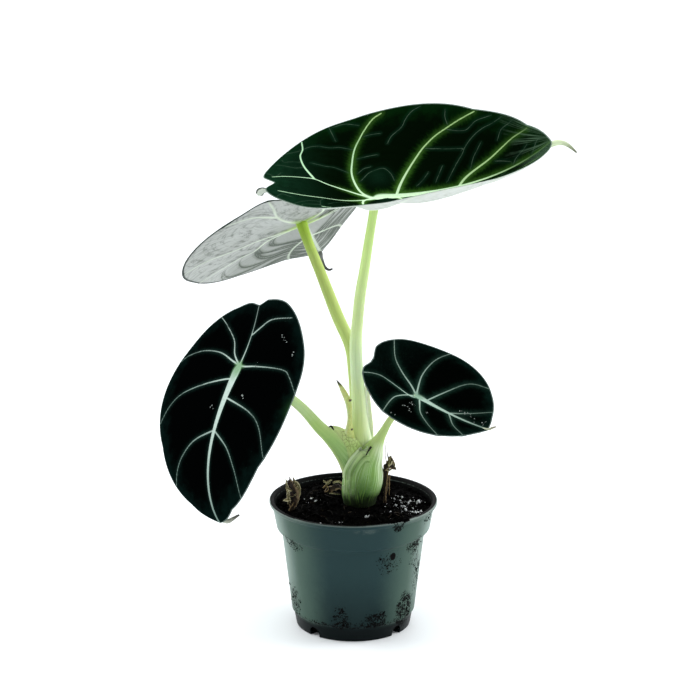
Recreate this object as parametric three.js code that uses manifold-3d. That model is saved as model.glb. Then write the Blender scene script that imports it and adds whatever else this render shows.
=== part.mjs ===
// A small alocasia with dark velvety leaves, growing in a round plastic nursery pot.
// Millimetres, +Z up, origin at the centre of the pot's underside.
import * as THREE from "three";
import { mergeVertices } from "three/addons/utils/BufferGeometryUtils.js";
import Module from "manifold-3d";

const wasm = await Module();
wasm.setup();

// ---- Driving dimensions ----

const SEAT = 0.3; // clearance where one piece rests on or passes through another
const MERGE = 1e-4;

const POT = {
  height: 46.5,
  rimRadius: 30,
  footRadius: 20.4,
  footHeight: 5.2,
  shoulderZ: 35.4,
  shoulderRadius: 25.6,
  collarZ: 36.7,
  collarRadius: 27.5,
  collarTopRadius: 28.9,
  wall: 0.9,
  floor: 1.2,
  segments: 48,
};
const DRAIN = { width: 4.3, height: 3.6, inner: 17, outer: 24, angles: [-42, 48, 138, -132] };
const SOIL = { edgeZ: 44.1, crown: 1.6, crumb: 0.45, rings: 9, segments: 48 };
const STEM = { buriedZ: 24, topZ: 46.5, radius: 5.2, x: 2.4, y: 1 };
const BLADE = {
  thickness: 0.75,
  puff: 1, // how far the surface rises between the veins
  puffReach: 4.5,
  rib: 0.8, // how far a vein stands out below
  ribHalf: 1.1,
  socket: 2.5, // room above the surface where the stalk's end is cut away
};

// ---- Solids ----

function solidOf(geometry) {
  const bare = geometry.index ? geometry.toNonIndexed() : geometry.clone();
  bare.deleteAttribute("normal");
  bare.deleteAttribute("uv");
  const merged = mergeVertices(bare, MERGE);
  const index = merged.index.array;
  const kept = [];
  for (let i = 0; i < index.length; i += 3) {
    const [a, b, c] = index.slice(i, i + 3);
    if (a !== b && b !== c && c !== a) kept.push(a, b, c);
  }
  return new wasm.Manifold(
    new wasm.Mesh({
      numProp: 3,
      vertProperties: merged.attributes.position.array,
      triVerts: new Uint32Array(kept),
    }),
  );
}

function geometryOf(solid) {
  const mesh = solid.getMesh();
  const geometry = new THREE.BufferGeometry();
  geometry.setAttribute("position", new THREE.BufferAttribute(mesh.vertProperties, 3));
  geometry.setIndex(new THREE.BufferAttribute(mesh.triVerts, 1));
  return geometry;
}

// The largest body of a solid, without the loose scraps that a cut can leave.
function mainBody(solid) {
  const bodies = solid.decompose();
  return bodies.reduce((a, b) => (b.volume() > a.volume() ? b : a));
}

function surface(positions, triangles) {
  const geometry = new THREE.BufferGeometry();
  const values = positions.flatMap((p) => p.toArray());
  geometry.setAttribute("position", new THREE.Float32BufferAttribute(values, 3));
  geometry.setIndex(triangles);
  return geometry;
}

// A closed skin over rings of points that all have the same count, with a cap at each end.
function skin(rings) {
  const sides = rings[0].length;
  const last = rings.length - 1;
  const points = rings.flat();
  const middle = (ring) =>
    ring.reduce((sum, p) => sum.add(p), new THREE.Vector3()).divideScalar(sides);
  const triangles = [];
  const start = points.push(middle(rings[0])) - 1;
  const end = points.push(middle(rings[last])) - 1;
  for (let j = 0; j < sides; j++) {
    const k = (j + 1) % sides;
    triangles.push(start, k, j, end, last * sides + j, last * sides + k);
    for (let i = 0; i < last; i++) {
      const a = i * sides + j;
      const b = i * sides + k;
      triangles.push(a, b, b + sides, a, b + sides, a + sides);
    }
  }
  return surface(points, triangles);
}

// A stalk along a smooth curve. Each knot is [x, y, z, radius]; flat squeezes its section.
function stalk(knots, { sides = 10, steps = 14, flat = 1, grow = 0 } = {}) {
  const places = knots.map(([x, y, z]) => new THREE.Vector3(x, y, z));
  const path = new THREE.CatmullRomCurve3(places, false, "centripetal");
  const frames = path.computeFrenetFrames(steps);
  const rings = [];
  for (let i = 0; i <= steps; i++) {
    const t = i / steps;
    const place = path.getUtoTmapping(t) * (knots.length - 1);
    const before = Math.min(Math.floor(place), knots.length - 2);
    const radius = THREE.MathUtils.lerp(knots[before][3], knots[before + 1][3], place - before) + grow;
    const centre = path.getPointAt(t);
    const ring = [];
    for (let j = 0; j < sides; j++) {
      const angle = (2 * Math.PI * j) / sides;
      ring.push(
        centre
          .clone()
          .addScaledVector(frames.normals[i], radius * Math.cos(angle))
          .addScaledVector(frames.binormals[i], radius * flat * Math.sin(angle)),
      );
    }
    rings.push(ring);
  }
  return solidOf(skin(rings));
}

// ---- Pot and soil ----

const potInside = [
  [POT.footRadius + 0.8, POT.footHeight + 0.8],
  [POT.shoulderRadius - POT.wall, POT.shoulderZ + 0.4],
  [POT.collarRadius - POT.wall + 0.1, POT.collarZ + 0.6],
  [POT.collarTopRadius - POT.wall, 44.2],
];

function makePot() {
  const outline = [
    [0, 0],
    [POT.footRadius - 0.4, 0],
    [POT.footRadius, 0.5],
    [POT.footRadius + 0.9, POT.footHeight],
    [POT.footRadius + 1, POT.footHeight + 0.4],
    [POT.footRadius + 1.6, POT.footHeight + 0.7],
    [POT.shoulderRadius, POT.shoulderZ],
    [POT.collarRadius - 0.2, POT.collarZ - 0.3],
    [POT.collarRadius, POT.collarZ],
    [POT.collarTopRadius, 44.3],
    [POT.collarTopRadius + 0.4, 45],
    [POT.rimRadius, 45.4],
    [POT.rimRadius, 46.2],
    [POT.rimRadius - 0.4, POT.height],
    [POT.rimRadius - 1.2, POT.height],
    [POT.rimRadius - 1.8, 45.9],
    ...[...potInside].reverse(),
    [POT.footRadius - 0.4, POT.floor],
    [0, POT.floor],
  ];
  const turned = new THREE.LatheGeometry(
    outline.map(([r, z]) => new THREE.Vector2(r, z)),
    POT.segments,
  ).rotateX(Math.PI / 2);
  const arch = new THREE.Shape();
  arch.moveTo(-DRAIN.width / 2, -1);
  arch.lineTo(DRAIN.width / 2, -1);
  arch.lineTo(DRAIN.width / 2, DRAIN.height - DRAIN.width / 2);
  arch.absarc(0, DRAIN.height - DRAIN.width / 2, DRAIN.width / 2, 0, Math.PI, false);
  const slot = new THREE.ExtrudeGeometry(arch, {
    depth: DRAIN.outer - DRAIN.inner,
    bevelEnabled: false,
    curveSegments: 5,
  })
    .translate(0, 0, DRAIN.inner)
    .rotateX(Math.PI / 2);
  return DRAIN.angles.reduce(
    (pot, angle) => pot.subtract(solidOf(slot.clone().rotateZ(THREE.MathUtils.degToRad(angle)))),
    solidOf(turned),
  );
}

function soilHeight(x, y) {
  const far = Math.hypot(x, y) / POT.collarRadius;
  const clod = Math.sin(0.9 * x + 1.3 * Math.sin(0.7 * y)) * Math.cos(0.8 * y - Math.sin(0.6 * x));
  const grain = Math.sin(2.3 * x + 4 * Math.cos(1.1 * y)) * Math.sin(2.1 * y + 3 * Math.sin(1.3 * x));
  return SOIL.edgeZ + SOIL.crown * (1 - far * far) + SOIL.crumb * (0.5 * clod + 0.5 * grain);
}

function makeSoil(stem) {
  const wall = potInside.map(([r, z]) => [r - SEAT, Math.min(z, SOIL.edgeZ - 1)]);
  wall.unshift([POT.footRadius - 0.8, POT.floor + SEAT]);
  const topRadius = wall[wall.length - 1][0];
  const ringAt = (radius, height) => {
    const ring = [];
    for (let j = 0; j < SOIL.segments; j++) {
      const angle = (2 * Math.PI * j) / SOIL.segments;
      const x = radius * Math.cos(angle);
      const y = radius * Math.sin(angle);
      ring.push(new THREE.Vector3(x, y, height(x, y)));
    }
    return ring;
  };
  const rings = wall.map(([radius, z]) => ringAt(radius, () => z));
  for (let i = SOIL.rings; i > 0; i--) rings.push(ringAt((topRadius * i) / SOIL.rings, soilHeight));
  return solidOf(skin(rings)).subtract(stem);
}

// ---- Stem and leaf stalks ----

// Each knot is [x, y, z, radius], from the sheathing base up to the blade's underside.
const STALKS = {
  a: [
    [3, 1.6, 46.8, 4.2],
    [3.2, 1.6, 50, 5],
    [3.2, 1.6, 58, 5],
    [2.2, 1.9, 66, 4.7],
    [1.7, 2.2, 74, 3.6],
    [1.7, 2.5, 82.4, 3],
    [1.6, 2, 97.2, 2.3],
    [2.7, 1.5, 112, 1.9],
    [4.4, 1, 130, 1.7],
    [6.8, 0.2, 150, 1.6],
    [7.7, 0, 155.4, 1.7],
  ],
  b: [
    [3, 4.2, 46.8, 3.6],
    [3, 4.6, 52, 4.6],
    [2.8, 6, 59, 4],
    [2, 8, 69.5, 3.2],
    [1.3, 10, 80, 2.6],
    [-0.1, 13, 90.5, 2.2],
    [-3, 17, 98.5, 2],
    [-7, 22, 108.5, 1.9],
    [-11.7, 29, 122.5, 1.8],
    [-15.5, 34.4, 132, 1.8],
    [-18.9, 40, 138.7, 1.9],
  ],
  c: [
    [2, 1, 46.8, 5.8],
    [1.9, 0.9, 50, 6.3],
    [1.6, 0.3, 56, 6],
    [-0.6, -0.8, 61, 4.8],
    [-4, -2.6, 66, 3.6],
    [-8, -5, 71, 2.7],
    [-12, -7.4, 75.6, 2.2],
    [-18.6, -10.4, 84, 1.8],
    [-28, -12.8, 92.4, 1.7],
    [-34.5, -13.4, 96.6, 1.7],
    [-37.5, -14.8, 98.6, 1.7],
    [-39.1, -16, 100.1, 1.8],
  ],
  d: [
    [3, -0.2, 46.8, 6.2],
    [3.4, -0.5, 50, 7.1],
    [3.9, -0.8, 56, 6.8],
    [5, -1.1, 60.5, 5.6],
    [6.8, -1.9, 64.5, 4],
    [8.8, -3, 69, 2.2],
    [10.6, -4.2, 72.8, 1.5],
    [13.2, -7.4, 78.4, 1.2],
    [17.6, -11, 84, 1.1],
    [20.4, -13, 86.7, 1.1],
    [22, -14, 88.3, 1.2],
  ],
};

// The thin web that joins a stalk's sheathing base to the stalk beside it.
const WEBS = {
  c: [
    [2, 0, 52, 5.2],
    [1.4, -0.6, 58, 5.4],
    [-0.4, -1.3, 64, 4.6],
    [-2.8, -2.1, 68.5, 3.6],
    [-5.4, -3.2, 72, 2.3],
    [-7.4, -4.2, 74.2, 1],
  ],
};

function makeStalk(name, grow = 0) {
  const petiole = stalk(STALKS[name], { sides: 12, steps: 18, grow });
  return WEBS[name] ? petiole.add(stalk(WEBS[name], { sides: 12, steps: 8, grow })) : petiole;
}

function makeStem(grow = 0) {
  const { buriedZ, topZ, radius, x, y } = STEM;
  return stalk(
    [
      [x, y, buriedZ - grow, 2.4],
      [x, y, buriedZ + 2, 4.6],
      [x, y, buriedZ + 8, radius],
      [x, y, topZ - 8, radius],
      [x, y, topZ + grow, radius - 0.3],
    ],
    { sides: 16, steps: 8, grow },
  );
}

// ---- Leaf blades ----

// A blade is drawn flat around its hub, where the stalk joins, with u along the midrib to the tip
// and v across it, and is then bent, folded along the midrib and cupped.
// radius holds the outline's distance from the hub at OUTLINE_ANGLES, for each half.
// veins run from the midrib or hub to the edge, in pairs from the tip back to the notch.
const OUTLINE_ANGLES = [0, 12, 36, 75, 115, 150, 170, 180];
const LEAVES = {
  a: {
    hub: [7.7, 0, 155.4],
    heading: 8.7,
    rise: 0.8,
    roll: 16,
    bend: [25, -1.5, 23.4],
    backBend: [17.7, -3],
    left: {
      radius: [65.4, 59.5, 49, 41.5, 41, 40.3, 39.7, 36.4],
      fold: [6.7, 36.8, -15],
      cup: 22.7,
    },
    right: {
      radius: [65.4, 58.5, 47.2, 40.3, 41, 40.3, 41, 36.4],
      fold: [13.5, 17.4, -12.4],
      cup: 27.9,
    },
    veins: [
      [[[31, 0], [41, 6.7], [47, 9.6], [52, 11], [58.5, 11.4]]],
      [[[7, 0], [12.7, 9.1], [18, 16], [30, 24.5], [41.8, 27.1]]],
      [[[0, 0], [-2.6, 5.5], [-5, 16.7], [-4.8, 27], [0.3, 37], [7.2, 40.5]]],
      [[[-20.4, 9.3], [-22.4, 16], [-23.4, 24], [-22, 33.7]]],
      [
        [[0, 0], [-10, 3.6], [-17, 6], [-25, 8.5], [-32, 8.5], [-38.8, 8.3]],
        [[0, 0], [-11.8, 7], [-19.4, 9.2], [-28, 8.2], [-35, 6.6], [-40.4, 7.1]],
      ],
    ],
    tip: [
      [61, 3, 170.4, 2.2],
      [65, 3.6, 172.6, 1.9],
      [69.1, 4, 174.2, 1.2],
      [72, 4, 174.4, 0.9],
      [74.5, 4, 173.2, 0.7],
      [77, 4, 171, 0.35],
    ],
  },
  b: {
    hub: [-18.9, 40, 138.7],
    heading: 85.7,
    rise: -19.8,
    roll: -19,
    bend: [-3.8, -1.3, -1.3],
    backBend: [0, 11.5],
    left: {
      radius: [73.6, 61.5, 53.6, 47.1, 47.5, 39.6, 39.5, 33.7],
      fold: [0.4, -5.2, -1.3],
      cup: -16.6,
    },
    right: {
      radius: [73.6, 62.9, 52.3, 46.1, 44.2, 40.3, 39, 33.7],
      fold: [2.1, 24.5, -4.7],
      cup: 21.4,
    },
    veins: [
      [[[35, 0], [44, 7], [50, 10], [55, 11.5], [60.8, 12]]],
      [[[8, 0], [12.5, 10], [16, 18.5], [17, 29], [16, 37], [15.5, 44.6]]],
      [[[0, 0], [-1.2, 15.8], [-7, 27], [-10.8, 39.7], [-12.3, 46.3]]],
      [[[-22.8, 8.2], [-26, 14.5], [-29, 24.7], [-30.2, 31]]],
      [
        [[0, 0], [-12, 3], [-24, 4.8], [-33, 5.1], [-38.9, 6.9]],
        [[0, 0], [-3, 5], [-9, 9], [-20, 10], [-30, 8.5], [-38.4, 6.8]],
      ],
    ],
    tip: [
      [-13, 102, 112.3, 1.2],
      [-12.8, 106, 110.8, 1.1],
      [-12.4, 110.4, 107.6, 0.8],
      [-11.1, 112, 104, 0.6],
      [-9.5, 113, 102.5, 0.5],
      [-8, 113, 102.9, 0.35],
    ],
  },
  c: {
    hub: [-39.1, -16, 100.1],
    heading: -130.6,
    rise: -50.2,
    roll: 10.4,
    bend: [-15.8, -38.7, -13.6],
    backBend: [0, 20.7],
    left: {
      radius: [57.8, 51.5, 41.1, 31.3, 28.1, 28.3, 25.1, 22.5],
      fold: [2.9, -0.1, -0.7],
      cup: -25.7,
    },
    right: {
      radius: [57.8, 53.1, 41.2, 31.6, 26, 23, 23.2, 22.5],
      fold: [6.8, 2.5, -1.3],
      cup: -8.4,
    },
    veins: [
      [[[24, 0], [29, 8.3], [35, 13], [40, 15.2], [46, 16.6]]],
      [
        [[12, 0], [15.7, 14.5], [20.5, 21.2], [29.8, 25.9]],
        [[5.2, 0], [6, 4], [9.5, 13], [14, 21], [19, 25], [26, 27.5]],
      ],
      [
        [[0, 0], [0, 3.5], [-0.7, 9.3], [-1.4, 21], [0.5, 25], [5.9, 30.4]],
        [[0, 0], [-1.3, 4.3], [-3.4, 11.5], [-3, 20], [-0.2, 26.5], [2.9, 29.7]],
      ],
      [
        [[-11.4, 0], [-14.6, 3.7], [-18, 8.6], [-19.8, 17.8]],
        [[0, 0], [-3.8, 4.5], [-9.1, 7.7], [-14.8, 15], [-16.4, 18.3]],
      ],
    ],
    backRib: true,
    tip: [
      [-45.9, -29.4, 50.6, 1.4],
      [-45.2, -30, 49.4, 1.1],
      [-44, -30.5, 48.8, 0.9],
      [-42.8, -31, 49, 0.8],
      [-41.1, -31.5, 50.2, 0.6],
      [-39.3, -32, 51.5, 0.35],
    ],
  },
  d: {
    hub: [22, -14, 88.3],
    heading: -30.8,
    rise: -19.6,
    roll: 10.4,
    bend: [4.6, 7.3, 2.4],
    backBend: [0.2, 30.4],
    left: {
      radius: [29.1, 27.9, 25.9, 23.9, 22.9, 23.7, 23.7, 21],
      fold: [19, 0.2, 0.4],
      cup: -2.7,
    },
    right: {
      radius: [29.1, 27.9, 25.8, 22.6, 20.6, 21.7, 20.4, 21],
      fold: [12.9, -5, -0.2],
      cup: -11,
    },
    veins: [
      [
        [[12.9, 0], [18.8, 3.3], [26.3, 8]],
        [[12.2, 0], [14, 1], [18.9, 6.6], [25.2, 10.2]],
      ],
      [
        [[3.5, 0], [6.3, 6.1], [10, 13.2], [13.3, 16], [19, 17]],
        [[1, 0], [3.4, 4], [7.2, 9.6], [12.9, 13.9], [18.7, 16.9]],
      ],
      [
        [[0, 0], [-1.4, 2.3], [-3.9, 8.2], [-4.6, 14], [-3.9, 18.7], [-1.6, 23.2]],
        [[0, 0], [-2.4, 3], [-4, 8.4], [-3.5, 13.5], [-1.5, 21.1]],
      ],
      [
        [[0, 0], [-4.4, 2.7], [-11, 5], [-15.8, 7.1], [-20.7, 11.5]],
        [[0, 0], [-1, 2.3], [-8.2, 2.4], [-13.4, 4], [-16, 7.5], [-17.8, 12]],
      ],
    ],
    tip: [
      [44.6, -28.4, 80.9, 1],
      [46, -29.3, 81.5, 0.8],
      [47.3, -30, 82.2, 0.5],
      [48.6, -30.5, 82.8, 0.35],
    ],
  },
};

const ROWS = [0, 0.08, 0.22, 0.4, 0.6, 0.8, 0.94, 1];
const BETWEEN_VEINS = [0, 0.16, 0.5, 0.84];
const VEIN_SAMPLES = 12;
const CUP_WIDTH = 40;
const SHEAR = 0.3;
const degrees = THREE.MathUtils.degToRad;

// A smooth line through values at OUTLINE_ANGLES.
function outlineRadius(half, angle) {
  const line = new THREE.SplineCurve(half.radius.map((r, i) => new THREE.Vector2(OUTLINE_ANGLES[i], r)));
  const knots = OUTLINE_ANGLES;
  const before = Math.max(0, knots.findIndex((k, i) => i < knots.length - 1 && angle <= knots[i + 1]));
  const inside = (angle - knots[before]) / (knots[before + 1] - knots[before]);
  return line.getPoint((before + inside) / (knots.length - 1)).y;
}

function onOutline(half, point) {
  const angle = Math.atan2(point.y, point.x);
  const radius = outlineRadius(half, THREE.MathUtils.radToDeg(angle));
  return new THREE.Vector2(radius * Math.cos(angle), radius * Math.sin(angle));
}

class Blade {
  constructor(leaf) {
    this.leaf = leaf;
    const [heading, rise, roll] = [leaf.heading, leaf.rise, leaf.roll].map(degrees);
    this.along = new THREE.Vector3(
      Math.cos(rise) * Math.cos(heading),
      Math.cos(rise) * Math.sin(heading),
      Math.sin(rise),
    );
    const level = new THREE.Vector3(-Math.sin(heading), Math.cos(heading), 0);
    const upright = this.along.clone().cross(level);
    this.across = level.multiplyScalar(Math.cos(roll)).addScaledVector(upright, Math.sin(roll));
    this.up = this.along.clone().cross(this.across);
    this.front = leaf.left.radius[0];
    this.back = leaf.left.radius.at(-1);
    this.veins = this.veinLines();
  }

  half(v) {
    return v < 0 ? this.leaf.right : this.leaf.left;
  }

  slope(u) {
    const ahead = Math.max(u, 0) / this.front;
    const behind = Math.max(-u, 0) / this.back;
    const { bend, backBend } = this.leaf;
    const crease = backBend[0] * (1 - Math.exp(-Math.max(-u, 0) / 6));
    return degrees(
      bend[0] * ahead + bend[1] * ahead ** 2 + bend[2] * ahead ** 3 - backBend[1] * behind - crease,
    );
  }

  // The blade's middle surface at the flat place (u, v).
  at(u, v) {
    const steps = 24;
    const half = this.half(v);
    const reach = THREE.MathUtils.clamp(u / this.front, -1.2, 1.2);
    const fold = half.fold[0] + half.fold[1] * reach + half.fold[2] * reach ** 2;
    let [ahead, lift, side, fall] = [0, 0, 0, 0];
    for (let i = 0; i < steps; i++) {
      const part = (i + 0.5) / steps;
      const slope = this.slope(u * part);
      const tilt = degrees(fold + (half.cup * part * Math.abs(v)) / CUP_WIDTH);
      ahead += (Math.cos(slope) * u) / steps;
      lift += (Math.sin(slope) * u) / steps;
      side += (Math.cos(tilt) * v) / steps;
      fall += (Math.sin(tilt) * Math.abs(v)) / steps;
    }
    const lean = SHEAR * this.slope(u);
    return new THREE.Vector3(...this.leaf.hub)
      .addScaledVector(this.along, ahead - fall * Math.sin(lean))
      .addScaledVector(this.up, lift + fall * Math.cos(lean))
      .addScaledVector(this.across, side);
  }

  normal(u, v) {
    const step = 0.5;
    const du = this.at(u + step, v).sub(this.at(u - step, v));
    const dv = this.at(u, v + step).sub(this.at(u, v - step));
    return du.cross(dv).normalize();
  }

  // Sampled flat lines of the midrib and every vein, as [u, v] pairs with v signed by its half.
  veinLines() {
    const lines = [[new THREE.Vector2(0, 0), new THREE.Vector2(this.front, 0)]];
    if (this.leaf.backRib) lines.push([new THREE.Vector2(0, 0), new THREE.Vector2(-this.back, 0)]);
    for (const pair of this.leaf.veins)
      for (const side of [1, -1])
        lines.push(
          this.guide(pair, side)
            .getPoints(VEIN_SAMPLES)
            .map((p) => new THREE.Vector2(p.x, side * p.y)),
        );
    return lines;
  }

  guide(pair, side) {
    const points = side > 0 ? pair[0] : pair.at(-1);
    return new THREE.SplineCurve(points.map(([u, v]) => new THREE.Vector2(u, v)));
  }

  veinDistance(u, v) {
    const place = new THREE.Vector3(u, v, 0);
    const nearest = new THREE.Vector3();
    const segment = new THREE.Line3();
    let least = Infinity;
    for (const line of this.veins)
      for (let i = 1; i < line.length; i++) {
        segment.start.set(line[i - 1].x, line[i - 1].y, 0);
        segment.end.set(line[i].x, line[i].y, 0);
        segment.closestPointToPoint(place, true, nearest);
        least = Math.min(least, nearest.distanceTo(place));
      }
    return least;
  }

  // Columns of flat places from the midrib to the edge, from the tip round to the notch.
  columns(side) {
    const half = side > 0 ? this.leaf.left : this.leaf.right;
    const edges = this.leaf.veins.map((pair) => {
      const roots = [1, -1].map((s) => this.guide(pair, s).getPoint(0));
      const root = new THREE.Vector2((roots[0].x + roots[1].x) / 2, 0);
      if (roots[0].x < 0) root.x = 0;
      const line = this.guide(pair, side);
      const shift = root.clone().sub(line.getPoint(0));
      return ROWS.map((b) => line.getPointAt(b).addScaledVector(shift, (1 - b) ** 2));
    });
    edges.unshift(ROWS.map(() => new THREE.Vector2(this.front, 0)));
    edges.push(ROWS.map(() => new THREE.Vector2(-this.back, 0)));
    const columns = [];
    for (let k = 0; k < edges.length - 1; k++)
      for (const share of BETWEEN_VEINS) {
        const line = ROWS.map((b, i) => edges[k][i].clone().lerp(edges[k + 1][i], share));
        const end = line.at(-1);
        const shift = onOutline(half, end).sub(end);
        columns.push(line.map((p, i) => p.addScaledVector(shift, ROWS[i] ** 2)));
      }
    columns.push(edges.at(-1));
    return columns;
  }

  // The closed blade. above and below widen it for clearance, out widens its edge.
  solid({ above = 0, below = 0, out = 0 } = {}) {
    const points = [];
    const triangles = [];
    for (const side of [1, -1]) {
      const half = side > 0 ? this.leaf.left : this.leaf.right;
      const columns = this.columns(side);
      const first = points.length;
      for (const column of columns)
        for (const flat of column) {
          const share = flat.length() / onOutline(half, flat).length();
          const wide = flat.clone().multiplyScalar(1 + (out / Math.max(flat.length(), 1)) * share ** 4);
          const [u, v] = [wide.x, side * wide.y];
          const away = this.veinDistance(flat.x, side * flat.y);
          const puff = BLADE.puff * (1 - Math.exp(-((away / BLADE.puffReach) ** 2))) * (1 - share ** 6);
          const rib = BLADE.rib * Math.exp(-((away / BLADE.ribHalf) ** 2)) * (1 - 0.8 * share);
          const middle = this.at(u, v);
          const normal = this.normal(u, v);
          points.push(middle.clone().addScaledVector(normal, BLADE.thickness / 2 + puff + above));
          points.push(middle.addScaledVector(normal, puff - BLADE.thickness / 2 - rib - below));
        }
      const at = (i, j, face) => first + 2 * (j * ROWS.length + i) + face;
      const add = (a, b, c) => (side > 0 ? triangles.push(a, b, c) : triangles.push(a, c, b));
      const last = ROWS.length - 1;
      for (let j = 0; j < columns.length - 1; j++) {
        for (let i = 0; i < last; i++)
          for (const face of [0, 1]) {
            const [a, b] = [at(i, j, face), at(i + 1, j, face)];
            const [c, d] = [at(i, j + 1, face), at(i + 1, j + 1, face)];
            if (face) {
              add(a, c, b);
              add(b, c, d);
            } else {
              add(a, b, c);
              add(b, d, c);
            }
          }
        add(at(last, j + 1, 0), at(last, j, 0), at(last, j, 1));
        add(at(last, j + 1, 0), at(last, j, 1), at(last, j + 1, 1));
      }
    }
    return solidOf(surface(points, triangles));
  }
}

// ---- Papery pieces ----

// The small scale leaf that stands beside the tallest stalk.
const CATAPHYLL = [
  [0, -1.6, 68, 0.8],
  [-0.8, -3.8, 72, 0.9],
  [-1.4, -5.8, 76.5, 1],
  [-1.8, -7, 81.6, 0.9],
  [-2.2, -7, 85.6, 0.9],
  [-3.6, -6.8, 88.8, 0.7],
  [-5.4, -6.5, 92.2, 0.35],
];

const HUSKS = {
  left: [
    [
      [-22.2, -7.6, 44, 0.8],
      [-21.2, -7.8, 49, 1.3],
      [-21, -8, 53, 1.6],
      [-22.4, -8, 55.6, 1.2],
      [-25, -7.6, 57, 0.5],
    ],
    [
      [-22, -8, 46.4, 0.8],
      [-23.4, -8.2, 49.5, 1.2],
      [-23.8, -8, 53.2, 1.2],
      [-22.4, -7.6, 56, 0.9],
      [-20, -7.4, 56.6, 0.5],
    ],
    [
      [-21.6, -8, 47.4, 0.8],
      [-23.2, -8.8, 46.2, 0.6],
      [-24.2, -9.2, 45.6, 0.5],
    ],
  ],
  back: [
    [
      [-9.8, 9, 44.6, 1],
      [-8.2, 9, 47, 1.5],
      [-6, 9.4, 48, 1.6],
      [-3.8, 10, 48.6, 1],
    ],
    [
      [-9, 9.2, 46.4, 0.8],
      [-8.4, 9.4, 49.6, 0.7],
      [-9.6, 9.6, 51.6, 0.4],
    ],
  ],
  right: [
    [
      [11.9, -1, 44.4, 0.7],
      [12, -1.2, 50, 0.6],
      [12.3, -1.4, 56, 0.8],
      [12.9, -1.5, 60.6, 1],
      [12.3, -1.5, 64.6, 0.35],
    ],
    [
      [12.6, -1.5, 60.8, 0.9],
      [14.4, -1.6, 62.2, 0.8],
      [15, -1.6, 60.2, 0.6],
      [14.8, -1.6, 57.8, 0.4],
    ],
  ],
};

function papery(strips) {
  return strips
    .map((knots) => stalk(knots, { sides: 7, steps: 7, flat: 0.6 }))
    .reduce((whole, strip) => whole.add(strip));
}

// ---- Assembly ----

const FINISH = {
  pot: { color: 0x2c3638, roughness: 0.5, metalness: 0 },
  soil: { color: 0x0d0c0b, roughness: 0.95, metalness: 0 },
  stem: { color: 0x5d7a45, roughness: 0.6, metalness: 0 },
  petiole: { color: 0xb5cf86, roughness: 0.5, metalness: 0 },
  blade: { color: 0x0b2a1c, roughness: 0.7, metalness: 0 },
  husk: { color: 0x9a8a5c, roughness: 0.85, metalness: 0 },
};

const plant = new THREE.Group();

function place(name, finish, solid) {
  const mesh = new THREE.Mesh(geometryOf(solid), new THREE.MeshStandardMaterial(FINISH[finish]));
  mesh.name = name;
  plant.add(mesh);
}

const stemClearance = makeStem(SEAT);
const soil = makeSoil(stemClearance);
place("pot", "pot", makePot());
place("soil", "soil", soil);
place("stem", "stem", makeStem());

// Stalks are cut one by one, so that each sheathing base wraps the ones made before it.
let taken = stemClearance.add(soil.translate([0, 0, SEAT]));
for (const name of ["a", "c", "d", "b"]) {
  const blade = new Blade(LEAVES[name]);
  const tip = stalk(LEAVES[name].tip, { sides: 8, steps: 7 });
  place(`blade_${name}`, "blade", mainBody(blade.solid().add(tip)));
  const bladeClearance = blade.solid({ above: BLADE.socket, below: SEAT, out: SEAT });
  const petiole = makeStalk(name).subtract(bladeClearance).subtract(taken);
  place(`petiole_${name}`, "petiole", mainBody(petiole));
  taken = taken.add(makeStalk(name, SEAT));
}

place("cataphyll", "husk", mainBody(papery([CATAPHYLL]).subtract(taken)));
for (const [name, strips] of Object.entries(HUSKS))
  place(`husk_${name}`, "husk", mainBody(papery(strips).subtract(taken)));

export default plant;
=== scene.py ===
# A small alocasia with dark velvety leaves, growing in a round plastic nursery pot.
# Sizes are in millimetres, +Z up, with the origin at the centre of the pot's underside, and -Y is the front.
# Meshes are made in metres, which is the frame's unit.
import math

import bmesh
import bpy
import numpy as np
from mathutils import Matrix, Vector, kdtree, noise
from mathutils.bvhtree import BVHTree
from mathutils.geometry import delaunay_2d_cdt


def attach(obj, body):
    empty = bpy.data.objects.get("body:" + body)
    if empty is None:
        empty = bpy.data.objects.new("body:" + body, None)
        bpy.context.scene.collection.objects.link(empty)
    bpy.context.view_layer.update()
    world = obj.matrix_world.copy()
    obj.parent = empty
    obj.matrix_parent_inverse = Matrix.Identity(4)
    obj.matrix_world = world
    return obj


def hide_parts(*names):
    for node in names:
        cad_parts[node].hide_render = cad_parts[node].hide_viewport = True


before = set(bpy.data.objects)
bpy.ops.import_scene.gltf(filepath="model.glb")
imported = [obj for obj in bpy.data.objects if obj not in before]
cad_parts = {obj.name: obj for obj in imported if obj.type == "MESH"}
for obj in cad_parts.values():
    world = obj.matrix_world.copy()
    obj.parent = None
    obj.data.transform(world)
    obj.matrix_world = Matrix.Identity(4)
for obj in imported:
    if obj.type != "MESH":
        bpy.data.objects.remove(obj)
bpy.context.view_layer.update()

# ---- Pot ----
# An injection-moulded nursery pot of dark polypropylene, with a wide collar, a rolled lip, a foot and
# four arched drainage slots at its bottom corner. It holds the soil, and everything else stands in that.

MM = 0.001
# The Mix node's sockets for colours, and the Attribute node's output for a single value.
MIX_SHARE, MIX_FIRST, MIX_SECOND, MIX_RESULT = 0, 6, 7, 2
FIELD_VALUE = 2


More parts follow.
